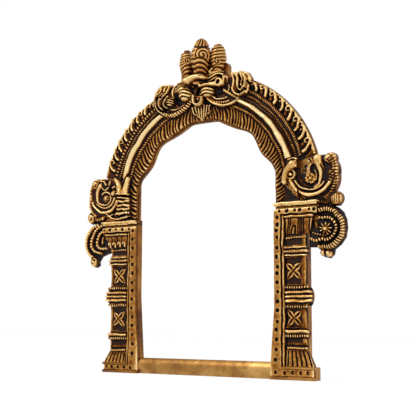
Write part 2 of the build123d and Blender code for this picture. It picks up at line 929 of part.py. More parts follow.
def make_arch_plate():
    with BuildPart() as plate:
        for side in levels:
            half = arch_plate_half(plate_back, levels[side]["impost_top"])
            extrude(half if side == "right" else half.mirror(Plane.YZ), amount=plate_front - plate_back)
    keep(plate, "arch_plate")


def make_bottom_rail():
    with BuildPart() as rail:
        with BuildSketch(Plane.YZ.offset(-foot_inner)) as section:
            with BuildLine():
                Polyline(
                    (y_at(rail_front - rail_round), 0),
                    (y_at(rail_back), 0),
                    (y_at(rail_back), rail_height),
                    (y_at(rail_front - rail_round), rail_height),
                )
                ThreePointArc(
                    (y_at(rail_front - rail_round), rail_height),
                    (y_at(rail_front), rail_height / 2),
                    (y_at(rail_front - rail_round), 0),
                )
            make_face()
        extrude(section.sketch, amount=2 * foot_inner)
        middle = (rail_back + rail_front) / 2
        for side in levels:
            top = min(rail_height / 2, levels[side]["foot_top"] / 2) + tenon_height / 2
            sign = 1 if side == "right" else -1
            tenon = [
                (sign * (foot_inner - tenon_root), top - tenon_height),
                (sign * (foot_inner + tenon_length), top - tenon_height),
                (sign * (foot_inner + tenon_length), top),
                (sign * (foot_inner - tenon_root), top),
            ]
            extrude(flat_shape(middle - tenon_depth / 2, tenon), amount=tenon_depth)
    keep(rail, "bottom_rail")


def cut_back_pieces():
    """Take the crest's tab and the arch plate out of the open part."""
    tab = [
        (-tab_half_width, 0),
        (tab_half_width, 0),
        (tab_half_width, tab_top),
        (-tab_half_width, tab_top),
    ]
    extrude(flat_shape(0, tab), amount=plate_front, mode=Mode.SUBTRACT)
    for half in both_plate_halves():
        extrude(half, amount=plate_front - plate_back, mode=Mode.SUBTRACT)


def both_plate_halves():
    """Both halves of the arch plate's outline behind the crest."""
    half = arch_plate_half(plate_back, arch_z - fringe_radius)
    return (half, half.mirror(Plane.YZ))


def make_crest_back():
    with BuildPart() as tab:
        with BuildSketch(layer(0)) as outline:
            with Locations((0, tab_top - tab_height / 2)):
                Rectangle(2 * tab_half_width, tab_height)
            fillet(outline.vertices().group_by(Axis.Z)[-1], tab_corner)
        extrude(outline.sketch, amount=plate_front)
        for half in both_plate_halves():
            extrude(half, amount=plate_front - plate_back, mode=Mode.SUBTRACT)
    keep(tab, "crest_back")


def make_crest_face():
    ridge_z = face_top - ridge_height
    with BuildPart() as face:
        extrude(flat_shape(plate_front, head_points()), amount=face_depth - plate_front)
        ridge = [
            (-ridge_half_width, ridge_z),
            (ridge_half_width, ridge_z),
            (ridge_half_width + ridge_flare, face_top),
            (-ridge_half_width - ridge_flare, face_top),
        ]
        ridge_front = nose_depth - nose_radius + ridge_stand_out
        extrude(flat_shape(plate_front, ridge), amount=ridge_front - plate_front)
        for sign in (-1, 1):
            boss((sign * cheek_x, cheek_z), cheek_radius, cheek_middle)
            eye = (sign * eye_x, eye_z)
            curl(eye, eye_ring, eye_ring_width, face_depth + eye_ring_rise, 0, 360)
            boss(eye, eye_ball, face_depth)
        boss((0, face_top - nose_drop), nose_radius, nose_depth - nose_radius)
        mouth_top = face_bottom + mouth_height
        mouth = [
            (-mouth_half_width, face_bottom),
            (mouth_half_width, face_bottom),
            (mouth_half_width, mouth_top),
            (-mouth_half_width, mouth_top),
        ]
        extrude(flat_shape(face_depth - mouth_depth, mouth), amount=foot_depth, mode=Mode.SUBTRACT)
    keep(face, "crest_face")


def make_tongue():
    with BuildPart() as tongue:
        with BuildSketch(layer(face_depth - mouth_depth)) as outline:
            with BuildLine():
                Polyline(
                    (-tongue_half_width, tongue_tip + tongue_half_width),
                    (-tongue_half_width, tongue_top),
                    (tongue_half_width, tongue_top),
                    (tongue_half_width, tongue_tip + tongue_half_width),
                )
                ThreePointArc(
                    (tongue_half_width, tongue_tip + tongue_half_width),
                    (0, tongue_tip),
                    (-tongue_half_width, tongue_tip + tongue_half_width),
                )
            make_face()
        extrude(outline.sketch, amount=tongue_depth - face_depth + mouth_depth)
    keep(tongue, "tongue")


def make_beard():
    with BuildPart() as beard:
        extrude(flat_shape(plate_front, beard_points()), amount=beard_depth - plate_front)
    keep(beard, "beard")


def make_crown_lobe(name, x, depth, radius, top, rings):
    """Egg of stacked rings under a pointed tip, turned about an upright axis."""
    height = top - face_top
    step = height * crown_body / rings
    edge = []
    for index in range(rings + 1):
        share = crown_body * index / rings
        width = radius * (1 - ((share - crown_belly) / crown_fall) ** 2) ** 0.5
        edge.append((x + width, face_top + step * index))
    with BuildPart() as lobe:
        with BuildSketch(Plane.XZ.offset(-y_at(depth))) as profile:
            with BuildLine():
                Polyline(edge[-1], (x, top), (x, face_top), edge[0])
                for low, high in zip(edge, edge[1:]):
                    middle = ((low[0] + high[0]) / 2 + ring_bulge, (low[1] + high[1]) / 2)
                    ThreePointArc(low, middle, high)
            make_face()
        revolve(profile.sketch, axis=Axis((x, y_at(depth), 0), (0, 0, 1)))
        cut_back_pieces()
    keep(lobe, name)


for side in levels:
    level = levels[side]
    make_foot_block(side)
    make_post(side)
    make_border(side)
    make_border_bead(side)
    make_foot_bell(side)
    make_column(side)
    make_ring(side, "base_ring", level["base_ring"], base_ring_half, base_ring_tip, 2)
    make_ring(side, "middle_ring", level["middle_ring"], middle_ring_half, middle_ring_tip, 5)
    make_ring(side, "upper_ring", level["upper_ring"], upper_ring_half, upper_ring_tip, 2)
    make_capital(side)
    make_impost(side)
    for name, radius, half_width, height in [
        ("inner_cord", inner_cord_radius, inner_cord_width, inner_cord_height),
        ("arch_rib", rib_radius, rib_half_width, rib_height),
        ("bead_row", bead_row_radius, bead_row_width, bead_row_height),
        ("rope_cord", rope_radius, rope_width, rope_height),
    ]:
        arch_moulding(name, side, radius, half_width, height, ornament_start, ornament_end)
    make_leaf_border(side)
    make_fringe(side)
    make_makara_head(side)
    make_makara_scroll(side)
    make_tail_scroll(side)
    make_mane_scroll(side)

make_arch_plate()
make_bottom_rail()
make_crest_back()
make_crest_face()
make_tongue()
make_beard()
make_crown_lobe("crown_centre", 0, crown_middle, crown_radius, crown_top, crown_rings)
for name, x in (("crown_left", -side_lobe_x), ("crown_right", side_lobe_x)):
    make_crown_lobe(name, x, side_lobe_middle, side_lobe_radius, side_lobe_top, side_lobe_rings)
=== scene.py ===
"""Brass prabhavali: cast relief over the CAD frame.

The relief is one height field. X and Z lie in the plane of the arch and the depth is measured
forwards from the flat back, in millimetres. Each node gets the part of it inside its outline.
"""
import math

import bpy
import numpy as np
from mathutils import Matrix, Vector


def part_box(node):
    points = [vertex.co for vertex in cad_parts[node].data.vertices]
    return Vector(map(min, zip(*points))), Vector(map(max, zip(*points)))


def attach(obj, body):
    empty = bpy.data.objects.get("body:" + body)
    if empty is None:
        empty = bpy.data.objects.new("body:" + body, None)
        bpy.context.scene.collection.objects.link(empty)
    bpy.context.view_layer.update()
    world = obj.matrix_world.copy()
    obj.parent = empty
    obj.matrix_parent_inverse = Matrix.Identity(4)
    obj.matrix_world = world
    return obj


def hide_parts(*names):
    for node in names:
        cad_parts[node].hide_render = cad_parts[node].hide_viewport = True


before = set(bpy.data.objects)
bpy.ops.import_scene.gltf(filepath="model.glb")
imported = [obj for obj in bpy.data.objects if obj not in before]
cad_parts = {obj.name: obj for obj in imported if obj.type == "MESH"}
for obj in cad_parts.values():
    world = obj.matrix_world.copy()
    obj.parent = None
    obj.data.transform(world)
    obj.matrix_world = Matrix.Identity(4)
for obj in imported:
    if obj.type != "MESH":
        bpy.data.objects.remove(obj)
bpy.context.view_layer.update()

# Millimetres in the script, metres in Blender
MM = 0.001
SIDES = {"right": 1, "left": -1}


def box_mm(node):
    low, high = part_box(node)
    return [value / MM for value in low], [value / MM for value in high]


def bottom_of(node):
    return box_mm(node)[0][2]


def top_of(node):
    return box_mm(node)[1][2]


back_y = box_mm("right_post")[1][1]


def front_of(node):
    """Depth of a node's front, measured from the back."""
    return back_y - box_mm(node)[0][1]


# Sizes taken from the frame
foot_inner = box_mm("right_foot_block")[0][0]
foot_outer = box_mm("right_foot_block")[1][0]
jamb = box_mm("right_impost")[0][0]
shoulder = box_mm("right_impost")[1][0]
shaft_inner = box_mm("right_column")[0][0]
shaft_outer = box_mm("right_column")[1][0]
bead_inner = box_mm("right_border_bead")[0][0]
bead_outer = box_mm("right_border_bead")[1][0]
plate_front = front_of("arch_plate")
post_front = front_of("right_post")
border_front = front_of("right_border")
foot_front = front_of("right_foot_block")
crest_low = bottom_of("crest_face")
beard_low = bottom_of("beard")
crown_low = bottom_of("crown_centre")

# Arch, as rings about one centre: radius and half width of each moulding
ARCH_Z = 92.9
EDGE_RADII = [(12.7, 44.9), (20, 43.7), (31, 40.9), (46, 42.8), (61, 40.4), (76, 41.2), (90, 40.8)]
FRINGE_R = jamb + 5.5
CORD_R, CORD_HALF = FRINGE_R + 1.5, 1.1
RIB_R, RIB_HALF_LOW, RIB_HALF_TOP = CORD_R + 3.8, 2.05, 1.45
BEAD_R, BEAD_HALF = RIB_R + 3.9, 0.95
ROPE_R, ROPE_HALF = BEAD_R + 2.6, 1.2
LEAF_R = ROPE_R + 1.5
LEAF_OUTER = [(0, 69.4), (20, 69.2), (48, 67.8), (60, 66.3), (76, 65.8), (90, 65.8)]
SPRING = 14.0
CREST_EDGE = 67.0

# Grid of the height field
STEP = 0.17
GRID_X = np.arange(-84.0, 84.0, STEP, dtype=np.float32)
GRID_Z = np.arange(-1.0, 180.0, STEP, dtype=np.float32)
X, Z = np.meshgrid(GRID_X, GRID_Z)
front = np.zeros_like(X)
cuts = np.zeros_like(X)


def span(x_low, x_high, z_low, z_high):
    """Slices of the grid that cover a box."""
    columns = slice(max(int((x_low - GRID_X[0]) / STEP), 0), max(int((x_high - GRID_X[0]) / STEP) + 2, 0))
    rows = slice(max(int((z_low - GRID_Z[0]) / STEP), 0), max(int((z_high - GRID_Z[0]) / STEP) + 2, 0))
    return rows, columns


def smooth_path(points, spacing=0.2):
    """Catmull-Rom curve through the points, sampled evenly, with its running length."""
    points = np.asarray(points, dtype=float)
    if len(points) > 2:
        ends = np.vstack([2 * points[0] - points[1], points, 2 * points[-1] - points[-2]])
        share = np.linspace(0, 1, 24, endpoint=False)[:, None]
        parts = []
        for a, b, c, d in zip(ends, ends[1:], ends[2:], ends[3:]):
            parts.append(0.5 * (2 * b + (c - a) * share + (2 * a - 5 * b + 4 * c - d) * share ** 2
                                + (3 * b - a - 3 * c + d) * share ** 3))
        points = np.vstack(parts + [points[-1:]])
    length = np.concatenate([[0], np.cumsum(np.linalg.norm(np.diff(points, axis=0), axis=1))])
    along = np.linspace(0, length[-1], max(int(length[-1] / spacing), 2))
    return np.column_stack([np.interp(along, length, column) for column in points.T]), along


def arc(centre, radius, start, end, end_radius=None, count=14):
    """Points of an arc or spiral, angles in degrees."""
    radii = np.linspace(radius, radius if end_radius is None else end_radius, count)
    angles = np.radians(np.linspace(start, end, count))
    return [(centre[0] + r * math.cos(a), centre[1] + r * math.sin(a)) for r, a in zip(radii, angles)]


def on_arch(radius, angle):
    """Point on the arch's right half."""
    return (radius * math.cos(math.radians(angle)), ARCH_Z + radius * math.sin(math.radians(angle)))


class Pen:
    """Draws on the height field; side is 1 on the right and -1 on the mirrored left."""

    def __init__(self, side=1):
        self.side = side

    def place(self, point):
        return self.side * point[0], point[1]

    def dome(self, point, radius, depth, height, flat=1.0):
        """Round or oval dome; flat is its height across Z as a share of its radius across X."""
        x, z = self.place(point)
        area = span(x - radius, x + radius, z - radius * flat, z + radius * flat)
        away = ((X[area] - x) / radius) ** 2 + ((Z[area] - z) / (radius * flat)) ** 2
        raised = np.where(away < 1, depth + height * np.sqrt(np.clip(1 - away, 0, 1)), 0)
        front[area] = np.maximum(front[area], raised)

    def bar(self, points, half, depth, height, end_half=None):
        """Round bar along a smooth path, tapering to end_half."""
        path, along = smooth_path(points)
        end_half = half if end_half is None else end_half
        for (x, z), share in zip(path, along / max(along[-1], 1e-6)):
            here = half + (end_half - half) * share
            self.dome((x, z), here, depth, height * (0.4 + 0.6 * here / half))

    def beads(self, points, pitch, radius, depth, height):
        path, along = smooth_path(points, 0.1)
        count = max(int(round(along[-1] / pitch)), 1)
        for share in (np.arange(count) + 0.5) / count:
            at = share * along[-1]
            self.dome((np.interp(at, along, path[:, 0]), np.interp(at, along, path[:, 1])), radius, depth, height)

    def cut(self, points, half, amount, end_half=None):
        """Carved line of a rounded section along a smooth path."""
        path, along = smooth_path(points, 0.15)
        end_half = half if end_half is None else end_half
        for (x, z), share in zip(path, along / max(along[-1], 1e-6)):
            self.pit((x, z), half + (end_half - half) * share, amount)

    def pit(self, point, radius, amount, flat=1.0):
        x, z = self.place(point)
        area = span(x - radius, x + radius, z - radius * flat, z + radius * flat)
        away = ((X[area] - x) / radius) ** 2 + ((Z[area] - z) / (radius * flat)) ** 2
        cuts[area] = np.maximum(cuts[area], np.where(away < 1, amount * np.sqrt(np.clip(1 - away, 0, 1)), 0))

    def ribs(self, points, pitch, half, width=0.26, amount=0.6, lean=0.0):
        """Short carved lines across a path, which make a bar look ribbed."""
        path, along = smooth_path(points, 0.1)
        count = max(int(round(along[-1] / pitch)), 1)
        turn = math.radians(90 + lean)
        for index in range(count + 1):
            at = int(round(index / count * (len(path) - 1)))
            before, after = path[max(at - 3, 0)], path[min(at + 3, len(path) - 1)]
            heading = math.atan2(after[1] - before[1], after[0] - before[0]) + turn
            reach = np.array([math.cos(heading), math.sin(heading)]) * half
            self.cut([path[at] - reach, path[at] + reach], width, amount)

    def slab(self, outline, depth):
        """Flat shape raised to one depth."""
        inside = sdf_polygon([self.place(point) for point in outline])
        front[inside < 0] = np.maximum(front[inside < 0], depth)


def sdf_polygon(points):
    """Signed distance to a closed outline over the grid: negative inside."""
    points = np.asarray(points, dtype=np.float32)
    low, high = points.min(axis=0) - 1.5, points.max(axis=0) + 1.5
    area = span(low[0], high[0], low[1], high[1])
    x, z = X[area], Z[area]
    nearest = np.full(x.shape, 1e6, dtype=np.float32)
    inside = np.zeros(x.shape, dtype=bool)
    for (ax, az), (bx, bz) in zip(points, np.roll(points, -1, axis=0)):
        dx, dz = bx - ax, bz - az
        share = np.clip(((x - ax) * dx + (z - az) * dz) / max(dx * dx + dz * dz, 1e-9), 0, 1)
        nearest = np.minimum(nearest, (x - ax - share * dx) ** 2 + (z - az - share * dz) ** 2)
        crosses = (az > z) != (bz > z)
        if dz != 0:
            inside ^= crosses & (x < ax + (z - az) * dx / dz)
    distance = np.full(X.shape, 5.0, dtype=np.float32)
    distance[area] = np.where(inside, -1, 1) * np.sqrt(nearest)
    return distance


def sdf_disc(point, radius, flat=1.0):
    away = np.hypot(X - point[0], (Z - point[1]) / flat)
    return (away - radius) * min(flat, 1.0)


def blurred(field, sigma):
    """Gaussian blur by rows and columns."""
    reach = int(3 * sigma / STEP) + 1
    weights = np.exp(-0.5 * (np.arange(-reach, reach + 1) * STEP / sigma) ** 2)
    weights /= weights.sum()
    for axis in (0, 1):
        pads = [(reach, reach) if axis == other else (0, 0) for other in (0, 1)]
        padded = np.pad(field, pads, mode="edge")
        total = np.zeros_like(field)
        for offset, weight in enumerate(weights):
            part = [slice(None), slice(None)]
            part[axis] = slice(offset, offset + field.shape[axis])
            total += weight * padded[tuple(part)]
        field = total
    return field


# Polar coordinates about the arch's centre, the same on both sides
RADIUS = np.hypot(X, Z - ARCH_Z)
ANGLE = np.degrees(np.arctan2(Z - ARCH_Z, np.abs(X)))
ALONG = np.radians(ANGLE) * RADIUS


def smooth_table(table, at):
    """Smooth value between the table's points."""
    keys, values = zip(*table)
    path, _ = smooth_path(np.column_stack([keys, values]), 0.3)
    return np.interp(at, path[:, 0], path[:, 1])


EDGE = smooth_table(EDGE_RADII, ANGLE).astype(np.float32)
EDGE_AWAY = np.where(ANGLE > 12.7, EDGE - RADIUS, jamb - np.abs(X))
OUTER = smooth_table(LEAF_OUTER, ANGLE).astype(np.float32)


def bar_profile(away, half, low, high):
    return np.where(np.abs(away) < half, low + (high - low) * np.sqrt(np.clip(1 - (away / half) ** 2, 0, 1)), 0)


def wave(phase, sharp=1.0):
    """Row of rounded ribs: 1 on each crest, 0 in each groove."""
    return np.abs(np.sin(math.pi * phase)) ** sharp


def raise_where(mask, depth):
    front[mask] = np.maximum(front[mask], np.broadcast_to(depth, front.shape)[mask])


# ---------------------------------------------------------------- arch

def draw_arch(name):
    side = SIDES[name]
    here = (X * side >= 0) & (ANGLE > -12) & (RADIUS < 72)
    right = side > 0
    mane = sdf_polygon([(side * x, z) for x, z in MANE_OUTLINES[name]])
    ornament = here & (ANGLE > SPRING - 2) & (ANGLE < 76) & (mane > 0)

    # Feather fringe: leaning flutes behind a plain rim
    inwards = FRINGE_R - RADIUS
    sweep = 0.75 * inwards - 0.045 * inwards ** 2
    wander = 0.16 * np.sin(ANGLE * 0.31) + 0.12 * np.sin(ANGLE * 0.83 + 1)
    flute = wave((np.radians(ANGLE) * 45 + sweep) / (2.05 if right else 2.3) + wander, 0.6)
    feather = plate_front - 0.1 + 2.1 * flute
    rim = EDGE_AWAY > (-1.2 if right else -0.9)
    inner = here & (EDGE_AWAY < 0) & (RADIUS < FRINGE_R + 0.3) & (Z > bottom_of(f"{name}_fringe") - 1)
    front[inner] = np.where(rim, 4.1, feather)[inner]

    # Cords, ribbed by side
    cord = bar_profile(RADIUS - CORD_R, CORD_HALF, plate_front + 0.5, 5.7)
    cord_rib = wave((ALONG * CORD_R / RADIUS + (RADIUS - CORD_R) * 0.5) / (1.15 if right else 1.5), 0.6)
    raise_where(ornament, cord * (0.8 + 0.2 * cord_rib))
    half = RIB_HALF_LOW + (RIB_HALF_TOP - RIB_HALF_LOW) * np.clip((ANGLE - 15) / 55, 0, 1)
    rib_low = 16.5 if right else SPRING
    pointed = np.ones_like(half) if right else np.clip((ANGLE - rib_low) / 6, 0.05, 1)
    rib = bar_profile(RADIUS - RIB_R, half * pointed, plate_front + 0.8, 7.4)
    raise_where(ornament & (ANGLE > rib_low), rib)
    bead_pitch = 1.25
    beads = bar_profile(RADIUS - BEAD_R, BEAD_HALF, plate_front + 0.5, 5.5)
    beads *= 0.72 + 0.28 * wave((ALONG * BEAD_R / RADIUS + (RADIUS - BEAD_R) * (0.8 if right else 0.1)) / bead_pitch, 0.7)
    raise_where(ornament, beads)
    rope_pitch = 1.2 if right else 1.85
    rope = bar_profile(RADIUS - ROPE_R, ROPE_HALF, plate_front + 0.5, 5.6)
    rope *= 0.7 + 0.3 * wave((ALONG * ROPE_R / RADIUS - (RADIUS - ROPE_R) * (0.5 if right else 0.1)) / rope_pitch, 0.7)
    raise_where(ornament, rope)
    raise_where(ornament & (RADIUS > FRINGE_R) & (RADIUS < LEAF_R), np.float32(plate_front + 1.0))

    # Leaf border: curled leaves between slanting gaps
    leaf = ornament & (RADIUS > LEAF_R) & (RADIUS < OUTER)
    front[leaf] = np.maximum(front[leaf], 4.6)
    raise_where(leaf & (RADIUS > OUTER - 1.5), np.float32(5.1))
    pen = Pen(side)
    start = 15.5 if right else 16.5
    pitch = 5.75
    for index in range(9):
        at = start + pitch * index + 0.5 * math.sin(index * 2.1)
        width = float(np.interp(at, *zip(*LEAF_OUTER))) - LEAF_R
        low, high = LEAF_R + 0.3, LEAF_R + width

        def spot(share, turn):
            return on_arch(low + (high - low) * share, at + turn)

        # Gap carved deep and painted dark as shade with patina, the leaf's ridge beside it, its hook, the eye inside
        # the hook and a vein
        pen.cut([spot(0.0, 0.0), spot(0.3, 0.3), spot(0.6, 1.2), spot(0.82, 2.6)], 0.65, 1.9, 0.35)
        pen.bar([spot(0.05, 1.6), spot(0.35, 2.0), spot(0.65, 3.3), spot(0.9, 5.0)], 0.95, 4.3, 1.7, 0.7)
        pen.bar([spot(0.93, 5.2), spot(0.78, 6.3), spot(0.48, 6.2), spot(0.42, 5.2), spot(0.6, 4.8)], 0.6, 4.4, 1.4, 0.45)
        pen.pit(spot(0.64, 5.5), 0.5, 1.5)
        pen.cut([spot(0.05, 3.6), spot(0.25, 3.9), spot(0.4, 4.6)], 0.55, 1.7, 0.3)
    for angle in np.arange(15, 68, 1.9):
        outer = float(np.interp(angle, *zip(*LEAF_OUTER)))
        pen.cut([on_arch(outer - 0.7, angle), on_arch(outer + 0.4, angle + 0.4)], 0.22, 0.5)


# ---------------------------------------------------------------- posts

# Punched dots down the strips, as heights above the plinth's underside
DOTS = {
    "right": [79.3, 75.7, 72.8, 69.3, 64.2, 59.7, 55.2, 51.8, 47.1, 42.6, 37.8, 33.4, 28.0, 24.2, 19.4, 14.7, 9.4],
    "left": [77.8, 73.0, 68.2, 63.2, 58.8, 54.1, 49.0, 44.7, 40.1, 35.2, 30.4, 25.7, 20.6, 15.5, 10.5],
}
BAR_DOTS = {"right": [47.3, 51.3, 55.8, 58.5, 64.0, 66.6], "left": [48.5, 53.3, 58.0, 62.5, 66.6]}
FOOT_DOTS = {"right": [44.5, 49.7, 53.9, 58.3, 62.4], "left": [46.2, 50.8, 55.0, 59.2, 63.0]}


def strip_edge(z, name):
    """Inner edge of the post, which leans outwards above the foot."""
    low, waist = top_of(f"{name}_foot_block"), bottom_of(f"{name}_middle_ring")
    return foot_inner + (jamb - foot_inner) * min(max((z - low) / (waist - low), 0), 1)


def draw_flower(pen, centre, size):
    """Flower of four slanting petals, each with a carved vein."""
    for turn in (42, 138, 222, 318):
        across = math.radians(turn)
        tip = (centre[0] + size * math.cos(across), centre[1] + 1.1 * size * math.sin(across))
        middle = ((centre[0] + tip[0]) / 2, (centre[1] + tip[1]) / 2)
        side_step = (-math.sin(across) * size * 0.2, math.cos(across) * size * 0.2)
        for sign in (-1, 1):
            bulge = (middle[0] + sign * side_step[0], middle[1] + sign * side_step[1])
            pen.bar([centre, bulge, tip], 0.95, 4.6, 1.4, 0.6)
        pen.cut([centre, tip], 0.35, 0.9, 0.2)
    pen.dome(centre, 1.15, 4.9, 1.5)


def draw_post(name):
    side = SIDES[name]
    pen = Pen(side)
    right = side > 0
    foot_top = top_of(f"{name}_foot_block")
    strip_outer = bead_inner - 0.4
    here = X * side > 40
    across = np.abs(X)

    def block(x_low, x_high, z_low, z_high, depth):
        raise_where(here & (across > x_low) & (across < x_high) & (Z > z_low) & (Z < z_high), np.float32(depth))

    # Base plate, foot block, border strip with its two bars
    bar_low = top_of(f"{name}_border") - 3.0
    bar_high = top_of(f"{name}_border")
    block(41, 66, 0, foot_top, 5.2)
    block(41, 66, 0, 1.5, foot_front)
    block(41, shoulder, foot_top, bar_high, post_front)
    block(41, strip_outer, 1.5, bar_high, border_front)
    block(41, foot_outer, 1.5, foot_top - 1.0, border_front)
    block(41, shoulder, bar_low, bar_high, border_front)
    pen.bar([(foot_inner, foot_top - 0.5), (foot_outer, foot_top - 0.5)], 0.55, 5.0, 1.2)

    # Plain raised line beside the strip and its return under the top bar
    line_top = top_of(f"{name}_border_bead")
    middle = (bead_inner + bead_outer) / 2
    pen.bar([(middle, foot_top), (middle, line_top)], 0.9, post_front, 2.4)
    pen.bar([(middle, line_top - 0.3), (shoulder - 0.6, line_top + (0.9 if right else 0.4))], 0.6, post_front, 1.9)

    for index, z in enumerate(DOTS[name]):
        x = (strip_edge(z, name) + strip_outer) / 2 + 0.25 * math.sin(index * 2.3)
        pen.pit((x, z), 0.98 if index % 3 else 0.82, 1.5)
        pen.cut([(x, z), (x + 0.3, z - 1.0)], 0.3, 0.5, 0.15)
    for index, x in enumerate(BAR_DOTS[name]):
        pen.pit((x, bar_low + 1.6), 1.0 if index % 2 else 0.75, 1.5)
    for x in FOOT_DOTS[name]:
        pen.pit((x, (1.5 + foot_top - 1.0) / 2 + 0.1), 0.85, 1.5)

    # Column from the foot up
    bell_low, bell_high = bottom_of(f"{name}_foot_bell"), top_of(f"{name}_foot_bell")
    neck = bell_high - 3.4
    flare = np.clip((neck - Z) / (neck - bell_low), 0, 1) ** 0.9
    bell = here & (across > shaft_inner) & (across < 61.9 + (foot_outer - 62.0) * flare) & (Z > bell_low) & (Z < neck)
    raise_where(bell, (5.3 + 0.8 * flare).astype(np.float32))
    for index in range(6):
        x = shaft_inner + 1.0 + index * 2.0
        lean = 0.55 * index
        pen.cut([(x + lean, bell_low + 0.7), (x + lean * 0.6, (bell_low + neck) / 2), (x, neck - 0.6)], 0.42, 1.2, 0.25)
        pen.bar([(x + 0.8 + lean, bell_low + 0.4), (x + 1.6 + lean, bell_low + 0.4)], 0.5, 5.4, 0.8)
    block(shaft_inner, 61.8, neck, bell_high + 0.3, 5.0)
    pen.beads([(shaft_inner + 0.3, neck + 0.9), (61.6, neck + 0.9)], 1.25, 0.75, 4.9, 1.1)
    pen.cut([(shaft_inner, neck + 2.0), (61.8, neck + 2.0)], 0.3, 0.9)

    def ring(node, tip, lines):
        """Band across the column with carved lines or bead rows, and a rounded outer end."""
        low, high = bottom_of(f"{name}_{node}"), top_of(f"{name}_{node}")
        centre = (low + high) / 2
        swell = np.clip(1 - np.abs((Z - centre) / ((high - low) / 2)) ** 1.5, 0, 1)
        edge = shaft_outer + 0.2 + (tip - shaft_outer - 0.2) * swell
        band = here & (across > shaft_inner) & (across < edge) & (Z > low) & (Z < high)
        raise_where(band, (5.2 + 1.0 * swell).astype(np.float32))
        for share, kind in lines:
            z = low + (high - low) * share
            reach = shaft_outer + (tip - shaft_outer) * math.sqrt(max(1 - (2 * share - 1) ** 2, 0)) - 0.2
            if kind == "beads":
                pen.bar([(shaft_inner + 0.2, z), (reach, z)], 0.85, 5.4, 1.0)
                pen.ribs([(shaft_inner + 0.5, z), (reach, z)], 1.35, 0.75, 0.34, 1.3)
            elif kind == "reed":
                pen.bar([(shaft_inner, z), (reach, z)], 0.6, 5.4, 1.1)
            elif kind == "rope":
                pen.bar([(shaft_inner, z), (reach, z)], 0.9, 5.4, 1.3)
                pen.ribs([(shaft_inner + 0.4, z), (reach, z)], 0.95, 0.8, 0.24, 0.7, lean=12)
            else:
                pen.cut([(shaft_inner, z), (reach, z)], 0.3, 1.0)

    ring("base_ring", 63.0, [(0.08, "cut"), (0.3, "beads"), (0.52, "cut"), (0.78, "reed")])
    ring("middle_ring", 65.0, [(0.04, "beads"), (0.2, "cut"), (0.3, "reed"), (0.42, "cut"), (0.5, "reed"), (0.6, "cut"),
                               (0.7, "reed"), (0.82, "cut"), (0.93, "beads")])
    ring("upper_ring", 62.8, [(0.12, "reed"), (0.3, "cut"), (0.55, "rope"), (0.82, "cut"), (0.95, "reed")])

    # Shaft with two framed panels and a flower in each
    shaft_low, shaft_high = bottom_of(f"{name}_column"), top_of(f"{name}_column")
    block(shaft_inner, shaft_outer, shaft_low, shaft_high, 4.6)
    ring_low, ring_high = bottom_of(f"{name}_middle_ring"), top_of(f"{name}_middle_ring")
    panels = [(top_of(f"{name}_base_ring"), ring_low), (ring_high, bottom_of(f"{name}_upper_ring"))]
    plain_strip = 2.3 if right else 1.2
    block(shaft_outer - plain_strip, shaft_outer, shaft_low, shaft_high, 5.3)
    for low, high in panels:
        strip_edge_x = shaft_outer - plain_strip
        pen.bar([(strip_edge_x, low), (strip_edge_x, high)], 0.45, 4.2, 1.2)
        for z in (low + 0.6, high - 0.6):
            pen.bar([(shaft_inner, z), (shaft_outer, z)], 0.45, 4.2, 1.2)
        draw_flower(pen, ((shaft_inner + shaft_outer - plain_strip) / 2, (low + high) / 2), 4.9)

    # Neck of cut lines and a bead row between the upper ring and the capital
    cap_low, cap_high = bottom_of(f"{name}_capital"), top_of(f"{name}_capital")
    high_ring = top_of(f"{name}_upper_ring")
    pen.bar([(shaft_inner, high_ring + 0.6), (shaft_outer + 0.3, high_ring + 0.8)], 0.5, 4.6, 1.1)
    pen.beads([(shaft_inner + 0.3, cap_low - 1.6), (shaft_outer + 0.4, cap_low - 1.4)], 1.2, 0.7, 4.6, 1.2)

    # Capital: slanting flutes on the right, curled leaves on the left
    share = np.clip((Z - cap_low) / (cap_high - cap_low), 0, 1)
    cap = here & (across > shaft_inner) & (across < 63.2 + 2.4 * share) & (Z > cap_low) & (Z < cap_high)
    raise_where(cap, (5.2 + 0.7 * share).astype(np.float32))
    pen.bar([(shaft_inner, cap_high - 0.5), (65.6, cap_high - 0.3)], 0.55, 5.2, 1.0)
    pen.cut([(shaft_inner, cap_high - 1.4), (65.0, cap_high - 1.3)], 0.3, 0.9)
    if right:
        for x in (51.2, 52.2):
            pen.cut([(x, cap_low + 0.4), (x + 1.0, cap_high - 1.8)], 0.28, 1.1)
        pen.cut([(53.4, cap_low + 0.3), (54.2, cap_low + 3.4), (55.2, cap_low + 4.3), (56.0, cap_low + 3.4),
                 (55.4, cap_low + 0.3)], 0.35, 1.3)
        for x in (56.9, 57.9, 58.8):
            pen.cut([(x, cap_low + 0.4), (x + 0.9, cap_high - 1.8)], 0.3, 1.2)
        pen.cut([(60.0, cap_low + 0.4), (60.7, cap_high - 1.8)], 0.3, 1.2)
        pen.cut([(63.0, cap_low + 0.6), (63.8, cap_high - 1.8)], 0.3, 1.0)
    else:
        for x in (52.2, 55.6, 59.0, 62.2):
            pen.bar([(x - 1.0, cap_low + 0.4), (x - 0.6, cap_low + 2.4), (x + 0.7, cap_low + 3.0), (x + 0.9, cap_low + 1.9)],
                    0.5, 5.5, 1.0, 0.4)
            pen.cut([(x + 1.5, cap_low + 0.2), (x + 1.8, cap_high - 1.8)], 0.3, 1.2)
    block(shaft_inner, shoulder, cap_high + 0.3, bar_low - 0.4, 4.6)

    # Ledge that the arch springs from
    low, high = bottom_of(f"{name}_impost"), top_of(f"{name}_impost")
    raise_where(here & (across > jamb) & (across < shoulder) & (Z > low) & (Z < high), np.float32(6.0))
    pen.bar([(jamb, high - 0.8), (jamb + 12, high - (0.9 if right else 0.8)), (shoulder, high - 0.6)], 0.8, 5.6, 1.1)
    if not right:
        pen.slab([(jamb + 0.3, low + 0.4), (jamb + 5.2, low + 0.4), (jamb + 5.0, high), (jamb + 0.3, high)], 6.7)


